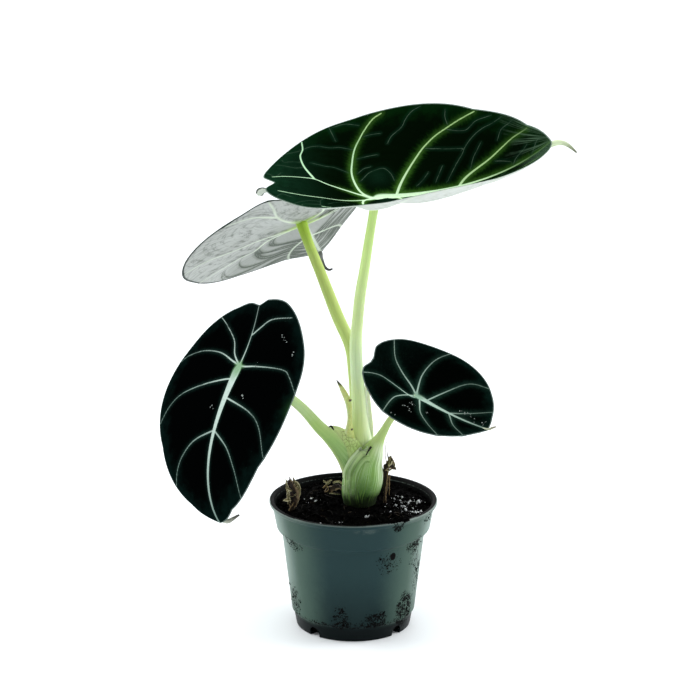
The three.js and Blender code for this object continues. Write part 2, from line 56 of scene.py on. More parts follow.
class Wire:
    """The value of a shader socket, so that maths on it is written as maths."""

    def __init__(self, finish, socket):
        self.finish = finish
        self.socket = socket

    def maths(self, operation, *values):
        return self.finish.node("Math", {"operation": operation}, dict(enumerate(values)))

    def __add__(self, other):
        return self.maths("ADD", self, other)

    def __sub__(self, other):
        return self.maths("SUBTRACT", self, other)

    def __rsub__(self, other):
        return self.maths("SUBTRACT", other, self)

    def __mul__(self, other):
        return self.maths("MULTIPLY", self, other)

    def __truediv__(self, other):
        return self.maths("DIVIDE", self, other)

    def __pow__(self, other):
        return self.maths("POWER", self, other)

    def __abs__(self):
        return self.maths("ABSOLUTE", self)

    __radd__ = __add__
    __rmul__ = __mul__

    def rise(self, low, high):
        """A smooth step from 0 at low to 1 at high. It falls instead where low is the higher."""
        ends = {"From Min": low, "From Max": high}
        return self.finish.node("MapRange", {"interpolation_type": "SMOOTHSTEP"}, {"Value": self, **ends})


class Finish:
    """A material, built node by node in front of its Principled shader."""

    def __init__(self, name, constants):
        self.material = bpy.data.materials.new(name)
        self.material.use_nodes = True
        self.tree = self.material.node_tree
        self.shader = self.tree.nodes["Principled BSDF"]
        self.set(constants)

    def node(self, kind, settings, inputs, output=0):
        made = self.tree.nodes.new("ShaderNode" + kind)
        for name, value in settings.items():
            setattr(made, name, value)
        for name, value in inputs.items():
            self.feed(made.inputs[name], value)
        return Wire(self, made.outputs[output])

    def feed(self, socket, value):
        if isinstance(value, Wire):
            self.tree.links.new(value.socket, socket)
        elif socket.type == "RGBA":
            socket.default_value = (*value[:3], 1)
        else:
            socket.default_value = value

    def set(self, values):
        for name, value in values.items():
            self.feed(self.shader.inputs[name], value)

    def blend(self, first, second, share):
        """One colour turning into another as share goes from 0 to 1."""
        inputs = {MIX_SHARE: share, MIX_FIRST: first, MIX_SECOND: second}
        return self.node("Mix", {"data_type": "RGBA"}, inputs, MIX_RESULT)

    def field(self, name):
        """A value that the mesh holds at each of its points."""
        return self.node("Attribute", {"attribute_name": name}, {}, FIELD_VALUE)

    def places(self):
        """The x, y and z of the surface, in millimetres."""
        place = self.node("TexCoord", {}, {}, "Object")
        return [self.node("SeparateXYZ", {}, {"Vector": place}, axis) * (1 / MM) for axis in "XYZ"]

    def speckle(self, size, detail=2.0, rough=0.5, stretch=(1, 1, 1), seed=0.0):
        """Smooth noise from 0 to 1 with lumps of the given size in millimetres."""
        place = self.node("TexCoord", {}, {}, "Object")
        scaled = self.node("Mapping", {}, {"Vector": place, "Scale": stretch, "Location": (seed, seed, 0)})
        inputs = {"Vector": scaled, "Scale": 1 / (size * MM), "Detail": detail, "Roughness": rough}
        return self.node("TexNoise", {}, inputs)

    def streaks(self, across, along, scale=1.0, detail=4.0, rough=0.5):
        """Noise over two values that the surface holds, for streaks that follow its shape."""
        place = self.node("CombineXYZ", {}, {"X": across, "Y": along})
        inputs = {"Vector": place, "Scale": scale, "Detail": detail, "Roughness": rough}
        return self.node("TexNoise", {"noise_dimensions": "2D"}, inputs)

    def bump(self, height, depth, strength=1.0):
        """Relief of the given depth in millimetres where height goes from 0 to 1."""
        inputs = {"Height": height, "Distance": depth * MM, "Strength": strength}
        self.set({"Normal": self.node("Bump", {}, inputs)})


def merged(shells):
    """The points and the faces of the shells, numbered through as one mesh."""
    faces = []
    start = 0
    for shell in shells:
        faces += [[start + int(i) for i in face] for face in shell["faces"]]
        start += len(shell["points"])
    return np.vstack([shell["points"] for shell in shells]), faces


def shade(mesh, crease=None):
    """Smooth shading, but for creases where faces meet at more than an angle in degrees."""
    mesh.shade_smooth()
    if crease:
        mesh.set_sharp_from_angle(angle=math.radians(crease))


def make_piece(name, shells, finishes, node=None, crease=None):
    """One mesh of shells, each a dict of points, faces, fields and the number of its finish."""
    points, faces = merged(shells)
    numbers = [np.broadcast_to(shell.get("finish", 0), len(shell["faces"])) for shell in shells]
    mesh = bpy.data.meshes.new(name)
    mesh.from_pydata((points * MM).tolist(), [], faces)
    for finish in finishes:
        mesh.materials.append(finish.material)
    mesh.polygons.foreach_set("material_index", np.hstack(numbers).astype(np.int32))
    for field in sorted({key for shell in shells for key in shell.get("fields", {})}):
        held = []
        for shell in shells:
            values = shell.get("fields", {}).get(field, 0.0)
            held.append(np.broadcast_to(values, len(shell["points"])))
        values = np.hstack(held).astype(np.float32)
        mesh.attributes.new(field, "FLOAT", "POINT").data.foreach_set("value", values)
    mesh.update()
    shade(mesh, crease)
    piece = bpy.data.objects.new(name, mesh)
    bpy.context.scene.collection.objects.link(piece)
    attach(piece, "root")
    if node:
        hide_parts(node)
    return piece


def ring_faces(rings, sides):
    """Quads between rings of points, and fans to the two points after them, the middles of the ends."""
    faces = []
    for i in range(rings - 1):
        for j in range(sides):
            k = (j + 1) % sides
            faces.append((i * sides + j, i * sides + k, (i + 1) * sides + k, (i + 1) * sides + j))
    start = rings * sides
    last = (rings - 1) * sides
    faces += [(start, (j + 1) % sides, j) for j in range(sides)]
    faces += [(start + 1, last + j, last + (j + 1) % sides) for j in range(sides)]
    return faces


def eased(corners, steps=5):
    """An outline with its corners eased. Each corner is (radius, height, easing)."""
    outline = [corners[0][:2]]
    for before, (r, z, ease), after in zip(corners, corners[1:-1], corners[2:]):
        here = np.array((r, z), float)
        inward = here - before[:2]
        outward = np.array(after[:2], float) - here
        start = here - inward / np.linalg.norm(inward) * ease
        end = here + outward / np.linalg.norm(outward) * ease
        for t in np.linspace(0, 1, steps):
            outline.append(tuple((1 - t) ** 2 * start + 2 * t * (1 - t) * here + t**2 * end))
    outline.append(corners[-1][:2])
    return outline


POT_WALL = [
    (0.02, 0, 0), (20.4, 0, 0.5), (21.35, 5.3, 0.3), (22, 5.9, 0.4), (25.6, 35.4, 0.5), (27.4, 36.5, 0.5),
    (28.9, 44.6, 0.6), (30, 45.3, 0.4), (30, 46.5, 0.5), (28.5, 46.5, 0.5), (28, 45.4, 0.4),
    (26.7, 37.3, 0.6), (24.7, 35.8, 0.6), (21.2, 6, 0.8), (20, 1.2, 0.8), (0.02, 1.2, 0),
]
POT_OUTSIDE = POT_WALL[1:8]  # the corners of its outer face, from the foot up
POT_HEIGHT = 46.5
POT_SIDES = 256
POT_CREASE = 40
POT_WAVER = 0.12  # how far the moulding strays from a true circle
SLOT_ANGLES = (-42, 48, 138, -132)  # from the front, towards the right
SLOT_WIDTH = 4.3
SLOT_HEIGHT = 3.6
SLOT_REACH = (17, 24)  # from the axis, through the whole wall
SLOT_START = -1  # under the pot, so that the slot is open downwards
LINING_FLOOR = 1.25  # the height above which the inner faces take the lining
LINING_DEPTH = 0.3  # and how far within the outer face they lie
# The lower and foot tones are painted shade. The side and edge tones are painted reflections where the wall
# turns away. The inside tone is painted shade. The worn tone serves both scuffed wear and the painted
# highlights along the lip and the ledge.
POT_FRONT = (0.0155, 0.0385, 0.0405)
POT_LOWER_SHADE = (0.0062, 0.0175, 0.0180)
POT_SIDE_REFLECTION = (0.0560, 0.0980, 0.0760)
POT_EDGE_REFLECTION = (0.1700, 0.2350, 0.2050)
POT_FOOT_SHADE = (0.0007, 0.0034, 0.0038)
POT_INSIDE_SHADE = (0.0006, 0.0009, 0.0009)
POT_WEAR_AND_HIGHLIGHT = (0.1900, 0.2300, 0.2100)
MIX_BLACK = (0.0006, 0.0008, 0.0008)
# Where potting mix clings to the outside: angle, height, half angle, half height and how thick it lies.
DIRT = [
    (55, 9, 14, 7.5, 1), (22, 8.5, 11, 3.5, 0.9), (-12, 9.5, 8, 5.5, 0.8), (-66, 11, 12, 7, 0.8),
    (-58, 34.5, 16, 3, 0.8), (57, 34.5, 12, 3.4, 0.9), (30, 30, 14, 5, 0.6), (70, 21, 10, 8, 0.7),
    (33, 45, 5, 3, 1.3), (66, 44, 9, 3, 0.7), (150, 10, 20, 6, 0.7), (-130, 9, 18, 5, 0.7),
    (-165, 33, 20, 3, 0.6),
]
# Where it is only smeared thinly, without crumbs.
SMEARS = [
    (52, 10, 12, 8, 0.7), (18, 8, 14, 3, 0.6), (-10, 9, 9, 5, 0.5), (0, 6.3, 70, 1.5, 0.7),
    (33, 44.6, 6, 2.5, 0.7), (60, 30, 9, 7, 0.5),
]
# One thick blot of mix, and a pale worn stain under the lip.
BLOT = (33.3, 32.3, 2.8, 1.6, 1)
STAIN = (9, 44, 9, 1.2, 1)


def pot_radius(z):
    """The outside radius of the pot at a height."""
    radii, heights, _ = np.transpose(POT_OUTSIDE)
    return np.interp(z, heights, radii)


def round_axis(angle, radius, height):
    """Places round the upright axis, at angles from the front towards the right."""
    return np.stack(np.broadcast_arrays(radius * np.sin(angle), -radius * np.cos(angle), height), -1)


def turned(outline, sides):
    """A closed outline turned round the upright axis."""
    outline = np.array(outline)
    angles = np.linspace(0, 2 * np.pi, sides, endpoint=False)
    points = round_axis(angles, outline[:, :1], outline[:, 1:])
    ends = [(0, 0, outline[0, 1]), (0, 0, outline[-1, 1])]
    return {"points": np.vstack([points.reshape(-1, 3), ends]), "faces": ring_faces(len(outline), sides)}


def arched_slot(angle):
    """A cutter for one drainage slot, which leaves the pot wall open from its underside up."""
    half = SLOT_WIDTH / 2
    arch = [(half * math.cos(t), SLOT_HEIGHT - half + half * math.sin(t)) for t in np.linspace(0, np.pi, 12)]
    section = [(half, SLOT_START), *arch, (-half, SLOT_START)]
    turn = math.radians(angle)
    across = np.array((math.cos(turn), math.sin(turn), 0))
    outward = np.array((math.sin(turn), -math.cos(turn), 0))
    ends = [[across * x + outward * reach + (0, 0, z) for x, z in section] for reach in SLOT_REACH]
    mesh = bpy.data.meshes.new("slot")
    count = len(section)
    faces = [(i, (i + 1) % count, count + (i + 1) % count, count + i) for i in range(count)]
    faces += [tuple(reversed(range(count))), tuple(range(count, 2 * count))]
    mesh.from_pydata((np.vstack(ends) * MM).tolist(), [], faces)
    cutter = bpy.data.objects.new("slot", mesh)
    bpy.context.scene.collection.objects.link(cutter)
    return cutter


def cut(piece, cutters):
    """Cuts the cutters out of a piece, and clears them away."""
    for cutter in cutters:
        step = piece.modifiers.new("cut", "BOOLEAN")
        step.solver = "EXACT"
        step.object = cutter
    whole = piece.evaluated_get(bpy.context.evaluated_depsgraph_get())
    mesh = bpy.data.meshes.new_from_object(whole)
    piece.modifiers.clear()
    piece.data = mesh
    for cutter in cutters:
        bpy.data.objects.remove(cutter)


def patch(finish, angle, z, middle, height, half_angle, half_height, strength):
    """A soft-edged oval patch on the pot's side, as high as its strength in its middle."""
    off = ((angle - middle) / half_angle) ** 2 + ((z - height) / half_height) ** 2
    return (1 - off).rise(-0.3, 1) * strength


def pot_plastic():
    """Dark satin plastic with greyer painted reflections where it curves away, and smeared potting mix."""
    finish = Finish("pot plastic", {"IOR": 1.45, "Specular IOR Level": 0.09})
    x, y, z = finish.places()
    angle = x.maths("ARCTAN2", x, 0 - y) * (180 / math.pi)
    plastic_tone = finish.speckle(9, 4, 0.6) * 0.6 + finish.speckle(1.6, 3, 0.7) * 0.4
    turned_away = abs(x.maths("SINE", angle * (math.pi / 180)))
    # Painted shade darkens the wall towards its foot, and painted reflections lighten it where it turns away.
    tint = finish.blend(POT_LOWER_SHADE, POT_FRONT, (z + plastic_tone * 8).rise(6, 34))
    tint = finish.blend(tint, POT_SIDE_REFLECTION, (turned_away + (plastic_tone - 0.5) * 0.2).rise(0.3, 0.88) * 0.95)
    tint = finish.blend(tint, POT_EDGE_REFLECTION, (turned_away + (plastic_tone - 0.5) * 0.12).rise(0.78, 1) * z.rise(2, 26))
    # Painted shade darkens the foot band.
    tint = finish.blend(tint, POT_FOOT_SHADE, (z + plastic_tone * 2).rise(8, 5))
    # The scuffs and the stain are wear, while the line along the lip is a painted highlight.
    scuff = finish.speckle(0.5, 3, 0.8, (1, 1, 6)).rise(0.64, 0.78) * 0.12
    lip = z.rise(45.95, 46.25) + turned_away.rise(0.2, 1) * z.rise(45.2, 45.7)
    stain = patch(finish, angle, z, *STAIN) * plastic_tone.rise(0.45, 0.6)
    tint = finish.blend(tint, POT_WEAR_AND_HIGHLIGHT, scuff + (lip * 0.9 + stain * 0.4) * plastic_tone)
    cover = sum(patch(finish, angle, z, *place) for place in DIRT + SMEARS)
    cover = cover.maths("MINIMUM", cover, 1)
    smear = finish.speckle(1.8, 6, 0.8, seed=0.3)
    grains = finish.speckle(0.5, 2, 0.6, seed=0.7)
    specks = (smear - 0.5) * 2.5 + (grains - 0.5) * 1.7 + cover * 0.46
    dirt = specks.rise(0.36, 0.43) * cover.rise(0.02, 0.2)
    dirt = dirt.maths("MAXIMUM", dirt, patch(finish, angle, z, *BLOT).rise(0.2, 0.4))
    finish.set({"Base Color": finish.blend(tint, MIX_BLACK, dirt)})
    finish.set({"Roughness": 0.34 + plastic_tone * 0.14 + dirt * 0.45})
    finish.bump(finish.speckle(0.35, 2, 0.5) * 0.3 + dirt, 0.08, 0.6)
    return finish


def shaded_pot_lining():
    """The pot's inside: the same plastic, black as painted shade, with a thin painted highlight along its
    ledge.
    """
    finish = Finish("pot lining in painted shade", {"IOR": 1.45, "Specular IOR Level": 0.05})
    x, y, z = finish.places()
    plastic_tone = finish.speckle(1.4, 4, 0.7)
    # A thin painted highlight along the ledge.
    ledge_highlight = abs(z - 45.3).rise(0.25, 0.05) * plastic_tone.rise(0.4, 0.7) * 0.5
    finish.set({"Base Color": finish.blend(POT_INSIDE_SHADE, POT_WEAR_AND_HIGHLIGHT, ledge_highlight), "Roughness": 0.45 + plastic_tone * 0.2})
    finish.bump(plastic_tone, 0.06)
    return finish


pot_shell = turned(eased(POT_WALL), POT_SIDES)
around = np.arctan2(pot_shell["points"][:, 0], -pot_shell["points"][:, 1])
waver = POT_WAVER * np.sin(2 * around + 0.6) * pot_shell["points"][:, 2] / POT_HEIGHT
pot_shell["points"][:, 0] += waver * np.sin(around)
pot_shell["points"][:, 1] -= waver * np.cos(around)
middles = np.array([pot_shell["points"][list(face)].mean(0) for face in pot_shell["faces"]])
inward = pot_radius(middles[:, 2]) - np.hypot(middles[:, 0], middles[:, 1])
# The inner faces and the lip's top take the near-black lining, which is painted shade.
pot_shell["finish"] = ((middles[:, 2] > LINING_FLOOR) & (inward > LINING_DEPTH)).astype(int)
pot = make_piece("nursery_pot", [pot_shell], [pot_plastic(), shaded_pot_lining()], "pot")
cut(pot, [arched_slot(angle) for angle in SLOT_ANGLES])
shade(pot.data, POT_CREASE)

# ---- Soil ----
# Moist black peat mix that fills the pot to just under its lip. Its top is a field of clods and crumbs, with
# peat fibres and white perlite grains lying loose on it, and some of it clings to the pot's outside.

SOIL_RADIUS = 27.3
SOIL_EDGE = 44.1
SOIL_CROWN = 1.6
SOIL_STEP = 0.62
STEM_PLACE = (3.0, 0.8)
STEM_CLEAR = 7.2
# Heaps on the level mix: (x, y), how high and how wide.
HEAPS = [((15, -19), 1.5, 8), ((3, -3), -0.9, 8), ((-12, -14), 0.5, 6), ((12, 15), 0.6, 7)]
SPILL_ANGLES = (25, 40)  # where a clump of mix hangs over the lip, from the front towards the right
SPILL_CRUMBS = 150
SPILL_HEIGHT = 46.6
LOOSE_CRUMBS = 1500
CRUMB_CLEAR = 6.6
CLINGING_CRUMBS = 260
FIBRES = 70
RIM_POINTS = 280
draw = np.random.default_rng(7)


def rough_at(points, size, octaves, seed):
    """Turbulence from -1 to 1 at each point, with lumps of the given size."""
    offset = Vector((seed, seed * 2.3, seed * 4.1))
    return np.array([noise.fractal(Vector(p) / size + offset, 1.0, 2.0, octaves) for p in points.tolist()])


def flat_triangles(outline, step, inside):
    """Even triangles over the inside of a flat outline. inside picks the points that keep clear of it."""
    low, high = outline.min(0), outline.max(0)
    rows = np.arange(low[1], high[1], step * math.sqrt(3) / 2)
    grid = [
        (x, y)
        for number, y in enumerate(rows)
        for x in np.arange(low[0] + (number % 2) * step / 2, high[0], step)
    ]
    grid = np.array(grid)
    grid = grid[inside(grid)]
    count = len(outline)
    edges = [(i, (i + 1) % count) for i in range(count)]
    places = [Vector(p) for p in np.vstack([outline, grid]).tolist()]
    made = delaunay_2d_cdt(places, edges, [], 1, 1e-6, False)
    return np.array([tuple(p) for p in made[0]]), np.array(made[2])


def soil_height(flat):
    """The height of the soil's top: the plain mound, then clods, crumbs and grit."""
    x, y = flat[:, 0], flat[:, 1]
    far = np.hypot(x, y) / 27.5
    spots = np.column_stack([flat, np.zeros(len(flat))])
    clods = rough_at(spots, 5.0, 3, 3.0) * 0.5
    crumbs = np.abs(rough_at(spots, 1.9, 3, 8.0)) * 0.9
    grit = rough_at(spots, 0.7, 2, 5.0) * 0.22
    heaps = sum(lift * np.exp(-(np.hypot(x - px, y - py) / wide) ** 2) for (px, py), lift, wide in HEAPS)
    return SOIL_EDGE - 0.4 + SOIL_CROWN * (1 - far**2) + clods + crumbs + grit + heaps


def lumps(places, sizes, squash=0.7, rough=0.25, level=1):
    """Irregular grains at the places, each turned its own way, as one shell."""
    seed = bmesh.new()
    bmesh.ops.create_icosphere(seed, subdivisions=level, radius=1)
    ball = np.array([tuple(v.co) for v in seed.verts])
    faces = np.array([[v.index for v in face.verts] for face in seed.faces])
    seed.free()
    points = []
    for place, size in zip(places, sizes):
        turn, _ = np.linalg.qr(draw.normal(size=(3, 3)))
        stretch = draw.uniform(squash, 1.25, 3)
        shape = ball * (1 + draw.normal(0, rough, (len(ball), 1))) * stretch
        points.append(shape @ turn.T * size + place)
    count = len(places)
    faces = (faces[None] + (np.arange(count) * len(ball))[:, None, None]).reshape(-1, 3)
    grain = np.repeat(draw.random(count), len(ball))
    return {"points": np.vstack(points), "faces": faces, "fields": {"grain": grain}}


def scatter(count, radius, keep_off=STEM_CLEAR):
    """Random places over the soil, clear of the stem."""
    places = []
    while len(places) < count:
        x, y = draw.uniform(-radius, radius, 2)
        if math.hypot(x, y) < radius and math.hypot(x - STEM_PLACE[0], y - STEM_PLACE[1]) > keep_off:
            places.append((x, y))
    return np.array(places)


def potting_mix():
    """Wet peat: nearly black, a little brown on the dry high crumbs, with wet glints on its grains."""
    finish = Finish("potting mix", {"IOR": 1.35, "Specular IOR Level": 0.03, "Coat Roughness": 0.15})
    tone = finish.speckle(0.9, 4, 0.7)
    shade = finish.blend((0.0005, 0.0004, 0.0004), (0.0015, 0.0012, 0.0010), tone.rise(0.5, 0.8))
    dry = finish.field("grain").rise(0.9, 1) * 0.5
    finish.set({"Base Color": finish.blend(shade, (0.009, 0.007, 0.005), dry)})
    wet = finish.speckle(0.55, 3, 0.7, seed=0.5).rise(0.68, 0.78)
    finish.set({"Roughness": 0.7 + tone * 0.2, "Coat Weight": wet * 0.7})
    finish.bump(finish.speckle(0.28, 3, 0.7), 0.12)
    return finish


def perlite_white():
    """Puffed glassy mineral: off-white, full of pits, dusted with peat."""
    finish = Finish("perlite", {"Specular IOR Level": 0.3})
    pits = finish.speckle(0.3, 4, 0.7)
    dust = finish.blend((0.74, 0.77, 0.78), (0.10, 0.10, 0.09), pits.rise(0.5, 0.7) * 0.85)
    tone = finish.field("grain") * 0.6
    finish.set({"Base Color": finish.blend(dust, (0.20, 0.21, 0.22), tone), "Roughness": 0.75 + pits * 0.15})
    finish.bump(pits, 0.1)
    return finish


def peat_fibre():
    """Straw-brown fibre, split from the peat."""
    finish = Finish("peat fibre", {"Roughness": 0.7, "Specular IOR Level": 0.15})
    share = finish.field("grain").rise(0.55, 1)
    finish.set({"Base Color": finish.blend((0.004, 0.003, 0.002), (0.035, 0.024, 0.013), share)})
    finish.bump(finish.speckle(0.2, 2), 0.03)
    return finish


angles = np.linspace(0, 2 * np.pi, RIM_POINTS, endpoint=False)
rim = SOIL_RADIUS * np.column_stack([np.cos(angles), np.sin(angles)])
flat, triangles = flat_triangles(rim, SOIL_STEP, lambda p: np.hypot(*p.T) < SOIL_RADIUS - 0.35)
top = np.column_stack([flat, soil_height(flat)])
SIDE_PLACES = [(27.2, 42.5), (26.3, 37.6), (24.3, 35.9), (20.9, 6.1), (19.6, 1.6)]
wall = [np.column_stack([rim / SOIL_RADIUS * r, np.full(len(rim), z)]) for r, z in SIDE_PLACES]
count = len(rim)
start = len(top)
sides = []
for i in range(len(wall)):
    upper = 0 if i == 0 else start + (i - 1) * count
    lower = start + i * count
    for j in range(count):
        k = (j + 1) % count
        sides.append((upper + k, upper + j, lower + j, lower + k))
sides.append(tuple(reversed(range(start + (len(wall) - 1) * count, start + len(wall) * count))))
faces = [*map(tuple, triangles), *sides]
ball = {"points": np.vstack([top, *wall]), "faces": faces, "fields": {"grain": 0.3}}
mix = potting_mix()
make_piece("soil_ball", [ball], [mix], "soil")

crumb_places = scatter(LOOSE_CRUMBS, SOIL_RADIUS - 0.6, CRUMB_CLEAR)
crumb_sizes = 0.2 + 0.8 * draw.random(len(crumb_places)) ** 4
crumb_tops = np.column_stack([crumb_places, soil_height(crumb_places) + crumb_sizes * 0.3])
spill_angles = draw.uniform(*SPILL_ANGLES, SPILL_CRUMBS)
spill_far = draw.uniform(27, 30.3, SPILL_CRUMBS)
spill_arch = np.sin(np.pi * (spill_angles - SPILL_ANGLES[0]) / (SPILL_ANGLES[1] - SPILL_ANGLES[0]))
spill_heights = SPILL_HEIGHT + 0.9 * spill_arch * draw.random(SPILL_CRUMBS)
spill_drops = np.clip(28 - spill_far, 0, 1) * 1.2
spill = round_axis(np.radians(spill_angles), spill_far, spill_heights - spill_drops)
spill_sizes = draw.uniform(0.25, 0.75, SPILL_CRUMBS)
shells = [lumps(crumb_tops, crumb_sizes), lumps(spill, spill_sizes)]
make_piece("soil_crumbs", shells, [mix], crease=50)

# Crumbs of mix that have dried on to the outside of the pot.
clinging = []
while len(clinging) < CLINGING_CRUMBS:
    angle, height, half_angle, half_height, strength = DIRT[draw.integers(len(DIRT))]
    if draw.random() < strength:
        off = draw.normal(0, 0.45, 2)
        clinging.append((angle + off[0] * half_angle, np.clip(height + off[1] * half_height, 1.2, 45.9)))
clinging = np.array(clinging)
clinging_sizes = 0.08 + 0.36 * draw.random(len(clinging)) ** 3
clinging_radii = pot_radius(clinging[:, 1]) + 0.02
clinging_places = round_axis(np.radians(clinging[:, 0]), clinging_radii, clinging[:, 1])
make_piece("pot_crumbs", [lumps(clinging_places, clinging_sizes, 0.8)], [mix], crease=50)

# Perlite lies in patches, as it settles after watering. Each patch is its middle, its spread and its count.
PERLITE_PATCHES = [
    ((18, -1), (9, 10), 110), ((20, -9), (5, 5), 30), ((12, -14), (7, 5), 16), ((-14, 1), (3.4, 3), 26),
    ((-6, -22), (8, 3), 9), ((4, 16), (14, 6), 14),
]
perlite_places = []
for middle, spread, number in PERLITE_PATCHES:
    while number:
        place = np.array(middle) + draw.normal(0, 0.5, 2) * spread
        near = math.hypot(place[0] - STEM_PLACE[0], place[1] - STEM_PLACE[1])
        if np.hypot(*place) < SOIL_RADIUS - 1 and near > STEM_CLEAR:
            perlite_places.append(place)
            number -= 1
perlite_places = np.array(perlite_places)
perlite_sizes = 0.09 + 0.6 * draw.random(len(perlite_places)) ** 4
perlite_tops = np.column_stack([perlite_places, soil_height(perlite_places) + perlite_sizes * 0.4])
make_piece("perlite_grains", [lumps(perlite_tops, perlite_sizes, 0.35, 0.3, 2)], [perlite_white()])


def spline(a, b, c, d, share):
    """A smooth curve's value at a share of the way from b to c, with a before them and d after."""
    square = 2 * a - 5 * b + 4 * c - d
    cube = 3 * b - a - 3 * c + d
    return 0.5 * (2 * b + (c - a) * share + square * share**2 + cube * share**3)


def run_along(points):
    """How far along a line each of its points lies."""
    return np.concatenate([[0], np.cumsum(np.linalg.norm(np.diff(points, axis=0), axis=1))])


def smooth_line(knots, count):
    """Points spread evenly along a smooth curve through the knots, each a place and any other values."""
    knots = np.asarray(knots, float)
    ends = np.vstack([2 * knots[0] - knots[1], knots, 2 * knots[-1] - knots[-2]])

    def at(t):
        i = np.minimum(t.astype(int), len(knots) - 2)
        return spline(*(ends[i + k] for k in range(4)), (t - i)[:, None])

    tries = np.linspace(0, len(knots) - 1, 40 * len(knots))
    run = run_along(at(tries)[:, :3])
    return at(np.interp(np.linspace(0, run[-1], count), run, tries))


def frames_on(line):
    """The places on a line, with the directions to its side and to its front at each."""
    centre = line[:, :3]
    along = np.gradient(centre, axis=0)
    along /= np.linalg.norm(along, axis=1)[:, None]
    side = np.cross(along, (0, -1, 0))
    side /= np.linalg.norm(side, axis=1)[:, None]
    return centre, side, np.cross(side, along)


def stalk(knots, rings, sides, shape=None):
    """A tapering round stalk. Each knot is (x, y, z, radius), and shape(angle, share) scales its radius."""
    line = smooth_line(knots, rings)
    centre, side, front = frames_on(line)
    angle = np.linspace(0, 2 * np.pi, sides, endpoint=False)[None]
    share = np.linspace(0, 1, rings)[:, None]
    radius = line[:, 3][:, None] * (shape(angle, share) if shape else np.ones((rings, sides)))
    outward = np.cos(angle)[..., None] * side[:, None] + np.sin(angle)[..., None] * front[:, None]
    points = centre[:, None] + radius[..., None] * outward
    fields = {
        "along": np.append(np.repeat(share[:, 0], sides), [0, 1]),
        "around": np.append(np.tile(angle[0], rings), [0, 0]),
    }
    return {
        "points": np.vstack([points.reshape(-1, 3), centre[0], centre[-1]]),
        "faces": ring_faces(rings, sides),
        "fields": fields,
    }


fibres = []
for x, y in scatter(FIBRES, SOIL_RADIUS - 2):
    turn = draw.uniform(0, 2 * np.pi)
    reach = draw.uniform(1, 3.2) * np.array((math.cos(turn), math.sin(turn)))
    bow = draw.normal(0, 0.8, 2)
    flat_knots = np.array([(x, y) - reach, (x, y) + bow, (x, y) + reach])
    inside = np.minimum(1, (SOIL_RADIUS - 1) / np.hypot(*flat_knots.T))[:, None]
    heights = soil_height(flat_knots * inside) + (0.1, 0.5, 0.2)
    thin = draw.uniform(0.06, 0.14)
    strand = stalk(np.column_stack([flat_knots * inside, heights, np.full(3, thin)]), 8, 5)
    strand["fields"] = {"grain": draw.random()}
    fibres.append(strand)
make_piece("peat_fibres", fibres, [peat_fibre()])

# ---- Stem ----
# The short thick stem that all the leaves grow from. It is sunk in the soil and hidden by the leaf bases,
# so it keeps its solid and takes a fleshy green skin.


def stem_skin():
    finish = Finish("stem skin", {"Roughness": 0.6})
    tone = finish.speckle(1.5, 3)
    finish.set({"Base Color": finish.blend((0.10, 0.19, 0.05), (0.20, 0.30, 0.10), tone)})
    finish.bump(tone, 0.1)
    return finish


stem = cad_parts["stem"]
stem.data.materials.clear()
stem.data.materials.append(stem_skin().material)

# ---- Leaf stalks ----
# Fleshy pale green petioles. Each widens at its foot into a sheath that wraps the ones inside it, and flares
# a little at its top, where it joins the underside of its blade. Two sheaths end in thin free edges.

STALKS = {
    "a": [
        (3, 1.6, 46.8, 4.2), (3.2, 1.6, 50, 5), (3.2, 1.6, 58, 5), (2.6, 1.8, 66, 4.4), (2.2, 2.2, 74, 3.3),
        (1.9, 2.4, 82, 2.6), (1.3, 2.3, 92, 2.3), (0.9, 2, 103, 2.2), (1.5, 1.5, 112, 2),
        (2.4, 1.2, 121, 1.95), (3.8, 0.9, 130, 1.8), (5.1, 0.6, 139, 1.65), (6.8, 0.2, 150, 1.55),
        (7.7, 0, 155.2, 1.9),
    ],
    "b": [
        (3, 4.2, 46.8, 3.6), (3, 4.6, 52, 4.6), (2.8, 6, 59, 4), (2, 8, 69.5, 3.2), (1.3, 10, 80, 2.6),
        (0.3, 13, 90.5, 2.3), (-1.1, 17, 98.5, 2.25), (-5.9, 22, 108.5, 2.2), (-11.9, 29, 122.5, 1.95),
        (-16.2, 34.4, 132, 1.85), (-18.9, 40, 138.5, 2.1),
    ],
    "c": [
        (2, 1, 46.8, 4.6), (1.9, 0.9, 50, 5), (1.6, 0.3, 56, 5.4), (-0.6, -0.8, 61, 4.7),
        (-4, -2.6, 66, 3.6), (-8, -5, 71, 2.7), (-12, -7.4, 75.6, 2.2), (-18.6, -10.4, 84, 1.8),
        (-28, -12.8, 92.4, 1.7), (-34.5, -13.4, 96.6, 1.7), (-37.5, -14.8, 98.6, 1.7),
        (-38.9, -15.9, 99.9, 1.9),
    ],
    "d": [
        (2.2, -0.2, 45.2, 5.6), (2.3, -0.4, 48.9, 6.3), (3, -0.6, 52, 6.9), (3.9, -0.8, 56, 6.8),
        (5, -1.1, 60.5, 5.6), (6.8, -1.9, 64.5, 4), (8.8, -3, 69, 2.2), (10.6, -4.2, 72.8, 1.5),
        (13.2, -7.4, 78.4, 1.2), (17.6, -11, 84, 1.1), (20.4, -13, 86.7, 1.1), (22, -14, 88.1, 1.35),
    ],
}
SHEATH_WEB = [
    (2, 0, 52, 5.2), (1.4, -0.6, 58, 5.4), (-0.4, -1.3, 64, 4.6), (-2.8, -2.1, 68.5, 3.6),
    (-5.4, -3.2, 72, 2.3), (-7.4, -4.2, 74.2, 1),
]
# Lines seen on the sheaths from the front, as (x, z), each with its depth and its half width.
SHEATH_FOLDS = {
    "c": [([(-0.4, 72), (-2.6, 66), (-3.6, 58)], 0.25, 0.7)],
    "d": [([(5.6, 66.6), (4.6, 63), (3.6, 58), (3.2, 52)], 0.2, 0.6)],
}
WEB_FOLDS = [([(-7.2, 75.5), (-3.6, 74.6), (-0.5, 71.7), (4.5, 66.5)], -0.3, 0.5)]
